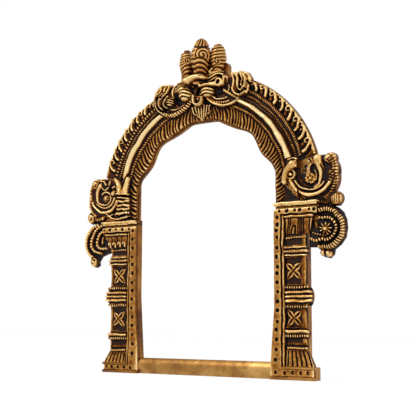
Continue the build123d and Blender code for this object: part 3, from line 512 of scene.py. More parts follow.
# ---------------------------------------------------------------- makara and its scrolls

def draw_makara_right():
    pen = Pen(1)
    low = top_of("right_impost")
    base = plate_front + 0.5
    pen.slab([(48.6, low), (58, low), (58.5, 96), (57.6, 106.5), (52, 107), (49, 102)], base + 0.8)
    # Jaw that swallows the rib, with its curl, and the collar below it
    pen.bar([(50.4, 97.0), (51.4, 100.4), (53.2, 103.6), (55.4, 105.4)], 1.9, 5.0, 3.1, 2.5)
    pen.bar([(55.4, 106.4), (57.4, 107.0), (58.4, 105.9), (57.8, 104.4), (56.6, 104.2)], 0.95, 5.6, 2.4, 0.8)
    pen.bar([(52.6, 107.6), (55.0, 108.2), (57.4, 108.0)], 0.6, 4.8, 2.4)
    pen.cut([(51.9, 106.6), (54.4, 107.1), (57.2, 107.2)], 0.35, 1.2)
    pen.bar([(49.0, 97.5), (51.4, 98.3)], 0.7, 5.0, 1.6)
    # Eye boss with its ring
    eye = (54.3, 100.2)
    pen.bar(arc(eye, 2.1, -150, 130, 2.1, 18), 0.65, 5.2, 1.9)
    pen.dome(eye, 1.25, 5.2, 2.4)
    # Feathers of the chin, below the eye
    for index in range(6):
        pen.bar([(49.4 + index * 1.2, 96.6 - index * 1.3), (50.6 + index * 1.3, 95.8 - index * 1.25)], 0.45, 4.6, 1.5)
    pen.bar([(51.5, 97.6), (52.6, 95.3), (54.6, 92.4), (57.6, 89.8), (61.2, 88.0)], 0.55, 4.8, 1.7, 0.45)
    for index in range(7):
        x = 50.6 + index * 1.0
        pen.cut([(x, low + 1.0), (x + 0.8, 94.2 - index * 0.75)], 0.22, 0.6)
    # U-shaped crest: thick band, thin band, and thin outer line
    middle = (65.5, 101.5)
    pen.slab(arc(middle, 15.4, 186, 350, 15.4, 30), base + 0.9)
    pen.slab(arc((68.5, 98.5), 10.6, 0, 350, 10.6, 36), base + 0.7)
    pen.bar(arc(middle, 12.7, 200, 330, 11.6, 26), 1.35, 4.8, 2.4, 1.0)
    pen.bar(arc(middle, 10.4, 206, 318, 9.2, 24), 0.75, 4.6, 2.2, 0.6)
    pen.bar(arc(middle, 15.2, 222, 282, 15.4, 16), 0.5, 4.4, 1.5)
    # Row of ribs inside the U, rosette, hatched fan
    pen.bar([(58.6, 96.6), (60.6, 94.4), (64.4, 93.2)], 0.9, 3.9, 1.4)
    pen.ribs([(58.4, 96.8), (60.6, 94.5), (64.6, 93.1)], 0.85, 1.1, 0.24, 0.8)
    rosette = (64.6, 97.6)
    pen.dome(rosette, 3.3, 4.4, 1.8)
    pen.beads(arc(rosette, 2.4, 0, 350, 2.4, 20), 1.3, 0.65, 5.0, 1.1)
    for turn in (20, 90, 160, 250, 310):
        spot = (rosette[0] + 1.2 * math.cos(math.radians(turn)), rosette[1] + 1.2 * math.sin(math.radians(turn)))
        pen.pit(spot, 0.45, 1.3)
    pen.pit((63.6, 94.9), 0.7, 1.2)
    fan = (67.6, 102.2)
    for turn in range(84, 206, 15):
        tip = (fan[0] + 6.2 * math.cos(math.radians(turn)), fan[1] + 5.6 * math.sin(math.radians(turn)))
        root = (fan[0] + 3.4 * math.cos(math.radians(turn)), fan[1] + 3.0 * math.sin(math.radians(turn)))
        pen.bar([root, tip], 0.5, 4.6, 1.9)
    # Smooth teardrop lobe that curls round the rosette
    pen.bar([(68.4, 106.6), (69.6, 104.0), (70.6, 100.8), (70.6, 97.4), (69.2, 94.4), (66.8, 92.9)], 2.6, 4.8, 2.6, 0.9)
    pen.cut([(67.9, 103.6), (69.0, 100.2), (68.9, 97.0), (67.7, 95.0)], 0.38, 1.6)
    pen.cut([(70.8, 103.8), (71.9, 100.6), (71.8, 97.4), (70.6, 94.6)], 0.3, 1.1)
    pen.pit((60.4, 100.6), 2.2, 2.4, 1.6)
    pen.pit((60.8, 105.0), 2.5, 2.4, 1.4)
    pen.pit((59.6, 108.4), 1.8, 1.8, 0.8)
    pen.bar([(62.6, 99.8), (62.2, 103.2), (63.6, 106.4)], 0.6, 4.6, 1.6)
    pen.bar([(67.2, 101.5), (67.9, 98.8), (67.5, 96.4)], 0.5, 4.4, 1.7)
    # Ribbed outer lobes
    for centre, half, start, end in [((68.5, 101.6), 8.7, 38, -42), ((69.5, 95.2), 8.0, 32, -62)]:
        path = arc(centre, half, start, end, half, 20)
        pen.bar(path, 2.2, 4.0, 2.0)
        pen.ribs(path, 1.3, 1.6, 0.3, 0.9, lean=8)
        pen.cut(arc(centre, half + 0.7, start, end, half + 0.7, 20), 0.28, 0.7)
    # Knobs: spiral on top, upright ribs below, and the ribbed bridge
    for knob, size in [((74.8, 106.6), 3.3), ((77.4, 87.0), 3.7)]:
        pen.dome(knob, size, 2.6, 4.0)
    pen.cut(arc((74.4, 106.7), 2.2, 160, -160, 1.0, 24), 0.28, 0.8)
    pen.beads(arc((74.2, 106.6), 1.3, 0, 330, 1.3, 14), 0.9, 0.42, 5.6, 0.9)
    for x in (75.2, 76.3, 77.4, 78.5, 79.5):
        pen.cut([(x - 0.2, 84.8), (x, 87.0), (x - 0.3, 89.2)], 0.24, 0.8)
    pen.cut([(74.8, 88.4), (77.2, 89.4), (79.8, 88.6)], 0.24, 0.7)
    pen.bar([(68.8, 86.2), (72.0, 85.8), (74.4, 86.4)], 1.5, 3.6, 1.6)
    pen.ribs([(69.6, 86.1), (72.0, 85.8), (74.4, 86.4)], 1.0, 1.5, 0.26, 0.9)
    pen.bar([(66.2, 88.8), (69.6, 88.4), (72.0, 88.7)], 0.8, 4.0, 1.4, 0.5)
    pen.slab([(68.0, 83.4), (79.5, 83.4), (79.5, 86), (68.0, 88)], 3.4)


def draw_makara_left():
    pen = Pen(-1)
    low = top_of("left_impost")
    base = plate_front + 0.5
    pen.slab([(48.6, low), (60, low), (60.5, 96), (59.6, 106.5), (50, 107), (48.6, 102)], base + 1.4)
    # Two smooth flaring jaws with a slit and the rib's point between them
    pen.bar([(51.0, 99.8), (50.8, 102.4), (50.2, 105.0), (49.5, 107.2)], 2.1, 5.4, 2.9, 1.4)
    pen.bar([(55.0, 99.8), (55.6, 102.4), (56.6, 105.0), (58.4, 107.2)], 2.2, 5.4, 2.9, 1.4)
    pen.bar([(52.6, 99.6), (52.8, 101.2)], 1.9, 5.4, 2.6, 1.2)
    pen.cut([(53.3, 107.4), (53.2, 104.8), (53.4, 102.0)], 0.75, 2.6, 0.35)
    # Collar of two rings
    pen.bar([(49.0, 98.2), (52.6, 98.8), (57.4, 98.9)], 0.75, 5.4, 2.4)
    pen.bar([(49.0, 96.0), (52.4, 96.5), (56.6, 96.9)], 0.6, 5.2, 2.2)
    pen.cut([(49.0, 97.2), (52.6, 97.7), (57.0, 97.9)], 0.35, 1.5)
    # Wavy folds of the throat, stacked between the collar and the ledge
    for level, wide in [(94.6, 6.4), (92.4, 6.8), (90.2, 6.4), (88.0, 7.6)]:
        wavy = [(49.4 + wide * share, level + 0.28 * math.sin(share * 7 + level)) for share in (0, 0.25, 0.5, 0.75, 1)]
        pen.bar(wavy, 1.15, 5.0, 2.2, 0.9)
        pen.cut([(x, z - 1.15) for x, z in wavy], 0.28, 1.1, 0.2)
        pen.dome((50.4 + wide, level + 0.2), 1.1, 5.0, 1.9)
    pen.bar([(49.2, 86.0), (53.0, 85.2), (58.0, 85.0), (62.0, 86.2), (66.0, 88.6)], 0.8, 4.8, 2.0, 0.6)
    # Eye boss at the outer side of the head
    eye = (60.2, 99.3)
    pen.dome(eye, 2.6, 4.6, 2.4)
    pen.cut(arc(eye, 1.7, 100, -200, 1.7, 18), 0.3, 1.1)
    pen.dome(eye, 1.1, 5.6, 2.0)
    pen.bar([(58.6, 103.6), (61.2, 103.0), (63.4, 104.6), (63.0, 107.0)], 0.8, 4.6, 2.2, 0.6)
    # Crest: a beaded outer band round nested smooth arcs
    middle = (66.5, 99.4)
    pen.slab(arc((67.8, 98.0), 11.6, 0, 350, 11.6, 36), 5.0)
    pen.bar(arc(middle, 10.4, 206, 330, 9.8, 26), 1.2, 5.0, 2.2, 0.9)
    pen.bar(arc(middle, 8.0, 200, 318, 7.4, 24), 0.85, 5.0, 2.0, 0.6)
    pen.bar(arc(middle, 12.6, 214, 262, 12.9, 20), 0.6, 4.4, 1.8)
    rosette = (65.6, 97.3)
    pen.dome(rosette, 2.2, 4.6, 2.4)
    for turn in (30, 105, 175, 240, 310):
        spot = (rosette[0] + 1.2 * math.cos(math.radians(turn)), rosette[1] + 1.2 * math.sin(math.radians(turn)))
        pen.pit(spot, 0.5, 1.4)
    pen.bar(arc(rosette, 3.7, 40, 300, 3.9, 22), 0.75, 4.6, 2.2)
    pen.pit((62.6, 102.6), 1.5, 2.0, 1.5)
    pen.bar([(64.0, 103.4), (66.6, 102.2), (69.0, 103.6), (69.6, 106.4)], 0.7, 4.6, 2.2, 0.5)
    pen.bar([(66.2, 105.2), (67.6, 107.2), (70.4, 107.6)], 0.65, 4.6, 2.0, 0.5)
    pen.pit((66.2, 107.4), 0.9, 1.6)
    pen.bar([(70.0, 104.8), (71.8, 101.6), (72.0, 98.0), (70.4, 94.8), (67.4, 93.2)], 1.3, 4.8, 2.5, 0.7)
    for centre, half, start, end in [((68.5, 101.2), 9.0, 46, -44), ((69.3, 95.0), 8.6, 34, -64)]:
        path = arc(centre, half, start, end, half, 20)
        pen.bar(path, 1.9, 4.0, 1.4)
        pen.beads(path, 1.9, 1.05, 4.8, 1.7)
    for knob, size in [((74.4, 106.0), 3.4), ((77.0, 87.0), 3.6)]:
        pen.dome(knob, size, 3.2, 3.6)
        pen.cut(arc(knob, size * 0.62, 150, -170, size * 0.3, 22), 0.32, 1.1)
    pen.bar([(68.8, 86.2), (72.0, 85.8), (74.2, 86.2)], 1.5, 3.8, 1.8)
    pen.ribs([(69.6, 86.1), (72.0, 85.8), (74.2, 86.2)], 1.3, 1.5, 0.28, 0.9)
    pen.slab([(68.0, 83.4), (79.0, 83.4), (79.0, 86), (68.0, 88)], 3.6)


# Outlines of the tails outside the column
TAILS = {
    "right": [(62.0, 64.0), (68.0, 63.6), (68.4, 60.4), (70.4, 58.8), (73.2, 58.2), (75.2, 60.0), (75.6, 62.4),
              (78.8, 64.6), (81.4, 68.0), (82.3, 72.4), (81.9, 76.6), (80.4, 80.2), (77.8, 82.6), (76.0, 83.4),
              (62.0, 83.4)],
    "left": [(62.0, 66.6), (66.6, 65.6), (70.6, 64.4), (72.6, 61.6), (72.4, 59.4), (74.6, 58.2), (77.2, 59.0),
             (78.2, 61.2), (79.6, 64.6), (82.0, 68.4), (82.3, 73.6), (81.2, 78.4), (78.2, 81.8), (74.6, 83.4),
             (62.0, 83.4)],
}


def draw_tail_ground(name):
    outline = sdf_polygon([(SIDES[name] * x, z) for x, z in TAILS[name]])
    # Low ground, which the relief value paints dark as shade
    raise_where(outline < 0, np.float32(3.0))


def draw_tail_right():
    """Spiral of ribbed bands round a radial rosette, on a low ground that joins the column and is painted dark as
    shade.
    """
    draw_tail_ground("right")
    pen = Pen(1)
    centre = (71.8, 72.4)
    outer = [(68.4, 81.9), (72.6, 82.2), (76.6, 80.8)] + arc(centre, 8.9, 48, -96, 8.6, 22)
    inner = [(67.0, 78.8)] + arc((71.6, 72.4), 5.9, 104, -104, 5.2, 22) + [(66.6, 66.9), (64.0, 68.0)]
    third = [(64.2, 71.0), (67.2, 69.8), (70.8, 69.0), (73.6, 69.9)]
    for path, half, depth, height, pitch in [(outer, 1.6, 3.6, 2.3, 1.3), (inner, 1.15, 3.4, 2.3, 1.45), (third, 0.8, 3.2, 2.0, 1.4)]:
        pen.bar(path, half, depth, height)
        pen.ribs(path, pitch, half * 0.85, 0.3, 1.1, lean=10)
    for turn in range(4, 364, 40):
        tip = (centre[0] + 3.0 * math.cos(math.radians(turn)), centre[1] + 3.0 * math.sin(math.radians(turn)))
        root = (centre[0] + 1.2 * math.cos(math.radians(turn)), centre[1] + 1.2 * math.sin(math.radians(turn)))
        pen.bar([root, tip], 0.55, 3.2, 2.0, 0.6)
    pen.dome(centre, 1.25, 4.0, 2.4)
    pen.dome((70.4, 61.0), 2.0, 3.0, 2.4)
    pen.dome((73.0, 60.8), 2.3, 3.0, 2.8)
    pen.bar([(68.2, 63.8), (71.6, 63.2), (75.2, 64.2)], 1.3, 3.2, 2.0)
    pen.cut([(71.5, 58.6), (71.3, 60.8), (71.9, 62.6)], 0.4, 1.6)
    pen.cut(arc((73.2, 60.8), 1.3, 120, -60, 1.0, 12), 0.26, 0.8)
    pen.bar([(65.2, 78.6), (66.4, 75.8), (66.7, 73.2)], 0.8, 3.0, 1.6)


def draw_tail_left():
    """Three beaded bands side by side, bent into a hook that ends in a knob."""
    draw_tail_ground("left")
    pen = Pen(-1)
    bands = [
        ([(71.2, 82.4), (76.4, 80.8), (80.0, 76.6), (80.7, 71.0), (78.8, 66.6), (75.6, 64.0)], 1.45),
        ([(68.6, 82.0), (73.2, 79.8), (76.4, 75.4), (76.6, 70.8), (74.0, 67.6), (69.8, 66.6)], 1.25),
        ([(66.6, 79.4), (70.4, 77.0), (72.6, 73.4), (71.6, 70.4), (68.6, 69.0), (65.0, 69.0)], 1.2),
    ]
    for path, half in bands:
        pen.bar(path, half, 3.4, 1.2)
        pen.beads(path, 1.75, half * 0.8, 4.0, 2.0)
    pen.bar([(66.2, 76.4), (68.6, 74.4), (68.8, 72.0)], 0.8, 3.4, 1.6)
    pen.dome((75.2, 61.2), 2.8, 3.2, 3.0)
    pen.cut(arc((75.2, 61.2), 1.5, 160, -120, 0.8, 16), 0.32, 1.1)


# ---------------------------------------------------------------- crest

# Outer edges of the manes beside the face, up to the face's own edge
MANE_OUTLINES = {
    "right": [(4.2, 144.8), (7.4, 142.2), (11.9, 140.5), (18.2, 140.0), (22.6, 141.3), (26.4, 144.0), (29.8, 148.3),
              (31.0, 153.2), (28.9, 156.5), (24.6, 157.9), (20.4, 157.4), (17.4, 156.4), (10.0, 156.0)],
    "left": [(5.0, 145.6), (9.4, 142.0), (14.6, 139.2), (20.8, 138.3), (25.6, 139.8), (29.8, 143.3), (31.6, 149.4),
             (29.8, 155.4), (26.2, 157.8), (21.0, 157.4), (17.0, 155.8), (10.0, 155.0)],
}
TONGUE = [(-3.4, 148), (-3.5, 145.2), (-2.7, 143.1), (-0.8, 142.4), (1.1, 143.1), (1.9, 145.2), (1.8, 148)]


def draw_mane_ground(name):
    inside = sdf_polygon([(SIDES[name] * x, z) for x, z in MANE_OUTLINES[name]]) < 0
    raise_where(inside, np.float32(5.2))


def draw_mane_right():
    """Smooth rims with a bead row between them, under a knob of nested strands."""
    draw_mane_ground("right")
    pen = Pen(1)
    pen.bar([(4.6, 145.4), (7.7, 143.2), (11.9, 141.4), (18.0, 141.0), (22.6, 142.5)], 1.1, 4.6, 2.8, 0.9)
    pen.bar([(28.6, 145.6), (30.1, 149.6), (29.9, 154.0), (27.2, 156.8)], 0.7, 4.8, 2.0, 0.6)
    pen.bar([(6.8, 147.0), (9.8, 145.0), (12.8, 144.5), (16.6, 144.9)], 0.75, 4.8, 2.5, 0.5)
    pen.beads([(5.8, 145.9), (9.4, 143.5), (13.5, 142.7), (18.4, 142.9)], 1.55, 0.85, 4.8, 2.3)
    pen.bar([(14.0, 149.4), (18.6, 146.3), (23.2, 143.4)], 1.1, 4.6, 2.0)
    pen.beads([(14.4, 149.2), (18.6, 146.3), (23.2, 143.4)], 1.45, 0.9, 5.2, 2.0)
    pen.bar([(16.6, 147.2), (17.6, 149.6), (17.2, 151.2)], 0.7, 4.8, 1.8, 0.5)
    pen.pit((11.8, 148.6), 2.4, 2.0, 0.8)
    # Knob: two long strands that turn round each other, and a small coil between them
    pen.dome((25.4, 150.9), 6.0, 4.8, 2.6, 1.15)
    pen.bar([(20.3, 157.0), (21.5, 153.6), (21.2, 150.6), (20.5, 148.6), (21.9, 146.0), (25.0, 144.8), (28.2, 146.4)],
            0.85, 5.8, 2.6, 0.6)
    pen.bar([(22.6, 156.4), (24.0, 153.5), (23.8, 149.9), (24.6, 147.7), (26.3, 147.2), (27.8, 149.2), (28.5, 152.4),
             (27.2, 155.4)], 0.8, 6.4, 2.6, 0.6)
    pen.bar([(25.2, 156.6), (26.3, 154.0), (25.9, 151.0)], 0.7, 6.4, 2.2, 0.5)
    pen.dome((25.9, 149.7), 0.9, 6.4, 2.2)
    pen.cut([(21.5, 156.8), (22.8, 153.4), (22.5, 149.6), (23.2, 146.8), (25.8, 145.9), (28.0, 147.6)], 0.42, 2.2)
    pen.cut([(24.0, 156.6), (25.2, 153.4), (24.9, 149.8), (25.6, 148.5)], 0.4, 2.2)


def draw_mane_left():
    """Ribbed crescent that rolls up into long strands, with a striped bud inside."""
    draw_mane_ground("left")
    pen = Pen(-1)
    crescent = [(6.2, 146.0), (10.6, 142.6), (15.6, 140.4), (20.6, 139.7), (24.8, 141.2)]
    pen.bar(crescent, 1.6, 4.6, 3.0, 1.4)
    pen.ribs(crescent, 1.55, 1.25, 0.3, 1.1, lean=-14)
    pen.bar([(8.8, 146.2), (12.0, 144.0), (16.2, 142.8), (20.2, 142.8)], 0.6, 4.6, 2.2, 0.5)
    pen.bar([(24.4, 140.6), (28.6, 144.0), (30.6, 149.4), (29.0, 154.6), (25.6, 156.9), (21.4, 156.4)], 1.0, 4.6, 3.2, 0.9)
    pen.dome((24.8, 150.4), 6.0, 4.6, 2.2, 1.1)
    pen.bar([(20.6, 155.4), (22.0, 152.8), (24.6, 151.0), (27.2, 149.2), (27.4, 146.2), (25.2, 143.4)], 0.8, 6.0, 2.4, 0.6)
    pen.bar([(23.6, 155.4), (24.8, 153.2), (27.6, 151.4)], 0.7, 6.0, 2.2, 0.5)
    pen.bar([(26.4, 155.6), (27.4, 153.8), (28.8, 152.4)], 0.6, 5.8, 1.9, 0.5)
    pen.bar([(21.6, 150.6), (24.2, 148.2), (24.4, 145.6), (22.0, 143.8)], 0.7, 5.8, 2.2, 0.5)
    pen.cut([(22.0, 155.6), (23.2, 153.0), (26.0, 151.2), (28.6, 149.4), (28.6, 145.6), (26.4, 142.8)], 0.42, 2.2)
    pen.cut([(22.2, 151.6), (25.4, 149.2), (25.8, 145.8), (23.6, 143.4)], 0.4, 2.0)
    pen.dome((20.4, 147.4), 2.9, 5.6, 3.0, 0.95)
    for z in (148.8, 147.4, 146.0):
        pen.cut([(17.8, z - 0.8), (20.4, z + 0.3), (22.8, z + 0.5)], 0.34, 1.5)
    pen.pit((15.2, 148.2), 2.8, 2.2, 1.3)


def draw_eye_side():
    """Right half of the face: drilled eye at the end of its lid, brow strands and a striped cheek."""
    pen = Pen(1)
    pen.bar([(0.2, 153.3), (4.6, 152.9), (8.6, 152.6), (11.2, 152.6)], 1.35, 6.4, 3.0, 1.6)
    eye = (12.4, 153.3)
    pen.dome(eye, 2.7, 6.8, 3.0)
    pen.bar([(1.0, 156.3), (4.2, 155.6), (7.4, 156.5), (10.2, 157.7), (13.2, 157.6), (15.0, 156.4), (15.2, 153.6),
             (14.6, 151.5)], 0.8, 6.4, 2.5, 0.7)
    pen.bar([(1.4, 154.9), (5.0, 154.5), (8.4, 155.2), (10.8, 156.2)], 0.75, 6.6, 1.9, 0.5)
    pen.bar([(3.8, 158.0), (7.0, 158.6), (9.8, 159.4), (13.0, 159.2)], 0.75, 5.4, 2.2, 0.6)
    pen.cut([(0.8, 155.6), (4.2, 155.0), (7.8, 155.8), (10.6, 156.8), (13.2, 156.7), (14.4, 154.9)], 0.32, 1.8)
    pen.cut([(1.0, 154.3), (5.0, 153.9), (8.8, 154.3), (10.4, 155.6)], 0.3, 1.6)
    pen.cut([(2.6, 157.2), (6.6, 157.5), (10.0, 158.7), (13.6, 158.4)], 0.36, 1.8)
    pen.pit(eye, 1.2, 5.5)
    for x, z, half in [(16.4, 154.6, 0.75), (14.9, 158.2, 0.6)]:
        pen.bar([(x - 0.5, z + 2.0), (x + 0.4, z), (x - 0.1, z - 2.2)], half, 5.2, 1.9, 0.4)
    # Small curled leaf above the brow
    pen.bar([(5.4, 160.2), (7.2, 161.6), (9.4, 161.6), (10.8, 159.9)], 0.75, 5.2, 2.2, 0.5)
    pen.bar([(5.8, 159.4), (8.0, 160.0), (9.8, 159.6)], 0.6, 5.2, 1.8, 0.4)
    pen.dome((5.0, 149.2), 4.5, 5.8, 4.8, 0.8)
    for z in (151.2, 149.3, 147.4):
        pen.cut([(0.8, z - 0.6), (5.0, z + 0.3), (9.2, z - 0.6)], 0.4, 1.7, 0.3)


def draw_shell_side():
    """Left half of the face: a ball inside a lined shell."""
    pen = Pen(-1)
    pen.dome((12.4, 152.2), 6.2, 4.8, 4.2, 0.86)
    pen.bar([(17.6, 149.6), (18.0, 152.4), (16.0, 155.2), (12.8, 156.8), (8.4, 155.3), (4.6, 153.4)], 0.85, 5.8, 2.6, 0.7)
    for ring in (5.6, 4.4, 3.2):
        pen.cut(arc((11.4, 150.8), ring, -20, 130, ring, 20), 0.32, 1.2)
    pen.dome((9.4, 149.4), 4.4, 6.0, 4.8, 0.9)
    for z in (151.8, 149.8, 147.8):
        pen.cut([(13.4, z - 0.9), (9.6, z + 0.2), (5.8, z - 0.6)], 0.4, 1.7, 0.3)


def draw_crest():
    # Low ground behind the face, painted dark by its depth as shade with patina
    area = (np.abs(X) < 15.5) & (Z > crest_low - 1) & (Z < crown_low + 1)
    raise_where(area, np.float32(plate_front + 1.0))
    raise_where(area & (np.abs(X + 0.6) < 12.5) & (Z > 148), np.float32(6.0))
    draw_mane_right()
    draw_mane_left()
    draw_eye_side()
    draw_shell_side()
    centre = Pen(1)
    # Nose: a broad saddle that stands out furthest, with a lower part below it set low so that it is painted in shade,
    # and the hollow under it
    centre.bar([(-2.4, 155.4), (0.4, 154.8), (2.4, 155.2)], 1.6, 7.4, 2.6, 1.3)
    centre.bar([(-6.0, 156.0), (-3.6, 157.0), (-0.6, 157.4), (2.4, 156.9), (4.4, 156.2)], 2.1, 8.4, 5.0, 1.5)
    centre.pit((-1.8, 150.6), 1.9, 3.0, 1.3)
    # Tongue as a U-shaped rim, and the fluted beard below it
    centre.slab(TONGUE, 6.8)
    centre.bar(TONGUE, 0.75, 7.2, 2.4)
    centre.dome((-0.8, 145.6), 0.8, 7.0, 1.8)
    raise_where((np.abs(X) < 6.6) & (Z > beard_low) & (Z < crest_low + 1.8), np.float32(4.4))
    for index in range(-3, 4):
        x = index * 1.85
        top = crest_low + 1.7 - abs(index) * 0.1
        centre.bar([(x, top), (x * 0.86, (top + beard_low) / 2 + 0.4), (x * 0.6, beard_low + 0.5 + abs(index) * 1.0)],
                   0.85, 4.4, 2.4, 0.5)
        centre.cut([(x + 0.92, top), (x * 0.7 + 0.7, beard_low + 1.6 + abs(index) * 0.8)], 0.3, 1.4, 0.2)


for side_name in SIDES:
    draw_arch(side_name)
    draw_post(side_name)
draw_tail_right()
draw_tail_left()
draw_makara_right()
draw_makara_left()
draw_crest()

# Carved lines stop above the CAD plate and post that stay in view
drawn = front > 0.5
front -= cuts
on_plate = drawn & (Z > top_of("right_impost")) & (RADIUS < OUTER)
on_post = drawn & (np.abs(X) < shoulder) & (Z < top_of("right_impost"))
front[drawn] = np.maximum(front[drawn], 1.7)
front[on_plate] = np.maximum(front[on_plate], plate_front + 0.12)
front[on_post] = np.maximum(front[on_post], post_front + 0.12)

# Depth that stands for the air beside the object in the shading of hollows
AIR_LEVEL = 3.2

# Unevenness of hand-worked wax: the relief wanders a little and its surface undulates
random = np.random.default_rng(11)


def smooth_random(sigma):
    field = blurred(random.standard_normal(X.shape).astype(np.float32), sigma)
    return field / field.std()


def sampled(field, x, z):
    """Field read between its grid points."""
    column = np.clip((x - GRID_X[0]) / STEP, 0, field.shape[1] - 2)
    row = np.clip((z - GRID_Z[0]) / STEP, 0, field.shape[0] - 2)
    left, low = column.astype(int), row.astype(int)
    column, row = column - left, row - low
    near = field[low, left] * (1 - column) + field[low, left + 1] * column
    far = field[low + 1, left] * (1 - column) + field[low + 1, left + 1] * column
    return near * (1 - row) + far * row


wandered = sampled(front, X + 0.15 * smooth_random(1.6), Z + 0.15 * smooth_random(1.6))
front = np.where(drawn & (wandered > 1.5), wandered, front)
front = front + np.where(drawn, 0.06 * smooth_random(0.5) + 0.08 * smooth_random(1.3), 0)
front = np.where(drawn, blurred(front, 0.14), front).astype(np.float32)


def above_round(sigma, most):
    """Height above the mean of what is round a spot, with the air counted as a low ground."""
    return np.clip(front - blurred(np.where(drawn, front, AIR_LEVEL), sigma), -most, most)


# Rubbed parts and the edges next to the air are bright, hollows dark: patina with painted shade in the hollows
open_air = 1 - blurred(drawn.astype(np.float32), 1.1)
carved = np.where(drawn, np.clip(cuts / 1.4, 0, 1), 0)
patina_and_painted_shade = 0.44 + 0.4 * above_round(0.8, 0.9) + 0.11 * above_round(2.6, 1.3) + 0.34 * open_air
# Painted shade by depth: low grounds darker as painted shade with patina, high parts lighter
patina_and_painted_shade += 0.1 * np.clip(front - 4.7, -1.8, 1.5)
# Carved lines darkened: painted shade with patina in the cuts
patina_and_painted_shade -= 0.26 * blurred(carved, 0.12)
patina_and_painted_shade = np.clip(patina_and_painted_shade, 0, 1).astype(np.float32)


# ---------------------------------------------------------------- pieces

def mesh_object(name, vertices, faces, values, domain):
    """Mesh from millimetre points in the frame's axes, with its patina and painted-shade value on each point or corner.
    """
    mesh = bpy.data.meshes.new(name)
    mesh.from_pydata((np.asarray(vertices) * MM).tolist(), [], faces)
    mesh.update()
    mesh.polygons.foreach_set("use_smooth", np.ones(len(mesh.polygons), dtype=bool))
    layer = mesh.attributes.new("patina_and_painted_shade", "FLOAT", domain)
    layer.data.foreach_set("value", np.asarray(values, dtype=np.float32))
    piece = bpy.data.objects.new(name, mesh)
    bpy.context.collection.objects.link(piece)
    return piece


# The scrolls' backs lie just inside the arch plate
SCROLL_BACK = 1.35
# Patina and painted-shade value of the plain side walls and backs
WALL_VALUE = 0.55


def relief_piece(name, nodes, outline, floor, slot, round_off=0.35):
    """Closed solid from the height field inside an outline: a signed distance, negative inside.

    floor is the depth of its flat back.
    """
    keep = outline < 0.55 * STEP
    cells = keep[:-1, :-1] & keep[1:, :-1] & keep[:-1, 1:] & keep[1:, 1:]
    rows, columns = np.nonzero(cells)
    corners = np.stack([rows * X.shape[1] + columns, rows * X.shape[1] + columns + 1,
                        (rows + 1) * X.shape[1] + columns + 1, (rows + 1) * X.shape[1] + columns], axis=1)
    used, index = np.unique(corners, return_inverse=True)
    index = index.reshape(corners.shape)
    x, z = X.ravel()[used].copy(), Z.ravel()[used].copy()
    away = outline.ravel()[used]
    slope_z, slope_x = (part.ravel()[used] for part in np.gradient(outline, STEP))
    # Boundary edges are used by one cell only
    edges = np.concatenate([index[:, [0, 1]], index[:, [1, 2]], index[:, [2, 3]], index[:, [3, 0]]])
    keys = np.sort(edges, axis=1)
    order = keys[:, 0].astype(np.int64) * len(used) + keys[:, 1]
    _, first, count = np.unique(order, return_index=True, return_counts=True)
    rim = edges[first[count == 1]]
    on_rim = np.zeros(len(used), dtype=bool)
    on_rim[rim.ravel()] = True
    size = np.maximum(np.hypot(slope_x, slope_z), 0.3)
    move = np.where(on_rim, np.clip(away, -STEP, STEP), 0)
    x -= move * slope_x / size
    z -= move * slope_z / size
    height = front.ravel()[used]
    share = np.clip(-away / round_off, 0, 1)
    height = height - round_off * (1 - np.sqrt(1 - (1 - share) ** 2))
    height = np.maximum(height, floor + 0.3)
    shade = patina_and_painted_shade.ravel()[used]
    total = len(used)
    top = np.column_stack([x, back_y - height, z])
    bottom = np.column_stack([x, np.full(total, back_y - floor), z])
    faces = [index[:, ::1], index[:, ::-1] + total]
    walls = np.column_stack([rim[:, 1], rim[:, 0], rim[:, 0] + total, rim[:, 1] + total])
    quads = np.concatenate(faces + [walls])
    values = np.full(quads.size, WALL_VALUE)
    values[:index.size] = shade[index].ravel()
    piece = mesh_object(name, np.concatenate([top, bottom]), quads.tolist(), values, "CORNER")
    # The walls and the back are flat, so only the relief itself is shaded smooth
    smooth = np.arange(len(quads)) < len(index)
    piece.data.polygons.foreach_set("use_smooth", smooth)
    finish_piece(piece, nodes, slot)


def finish_piece(piece, nodes, slot):
    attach(piece, "root")
    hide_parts(*nodes)
    piece.data.materials.append(materials[slot])


# ---------------------------------------------------------------- materials

def node_tree(name):
    material = bpy.data.materials.new(name)
    material.use_nodes = True
    nodes, links = material.node_tree.nodes, material.node_tree.links
    return material, nodes, links, nodes["Principled BSDF"]


def linear(red, green, blue):
    """Linear colour from 8-bit sRGB."""
    return tuple(((c / 255 + 0.055) / 1.055) ** 2.4 if c > 10 else c / 255 / 12.92 for c in (red, green, blue)) + (1,)


def noise(nodes, links, scale, detail=4, roughness=0.6):
    place = nodes.new("ShaderNodeTexCoord")
    texture = nodes.new("ShaderNodeTexNoise")
    texture.inputs["Scale"].default_value = scale
    texture.inputs["Detail"].default_value = detail
    texture.inputs["Roughness"].default_value = roughness
    links.new(place.outputs["Object"], texture.inputs["Vector"])
    return texture.outputs["Fac"]


def maths(nodes, links, operation, first, second):
    node = nodes.new("ShaderNodeMath")
    node.operation = operation
    for socket, value in zip(node.inputs, (first, second)):
        if isinstance(value, (int, float)):
            socket.default_value = value
        else:
            links.new(value, socket)
    return node.outputs[0]


def ramp(nodes, links, source, stops):
    node = nodes.new("ShaderNodeValToRGB")
    elements = node.color_ramp.elements
    while len(elements) < len(stops):
        elements.new(0.5)
    for element, (place, colour) in zip(elements, stops):
        element.position = place
        element.color = colour
    links.new(source, node.inputs["Fac"])
    return node.outputs["Color"]


def grey(value):
    return (value, value, value, 1)


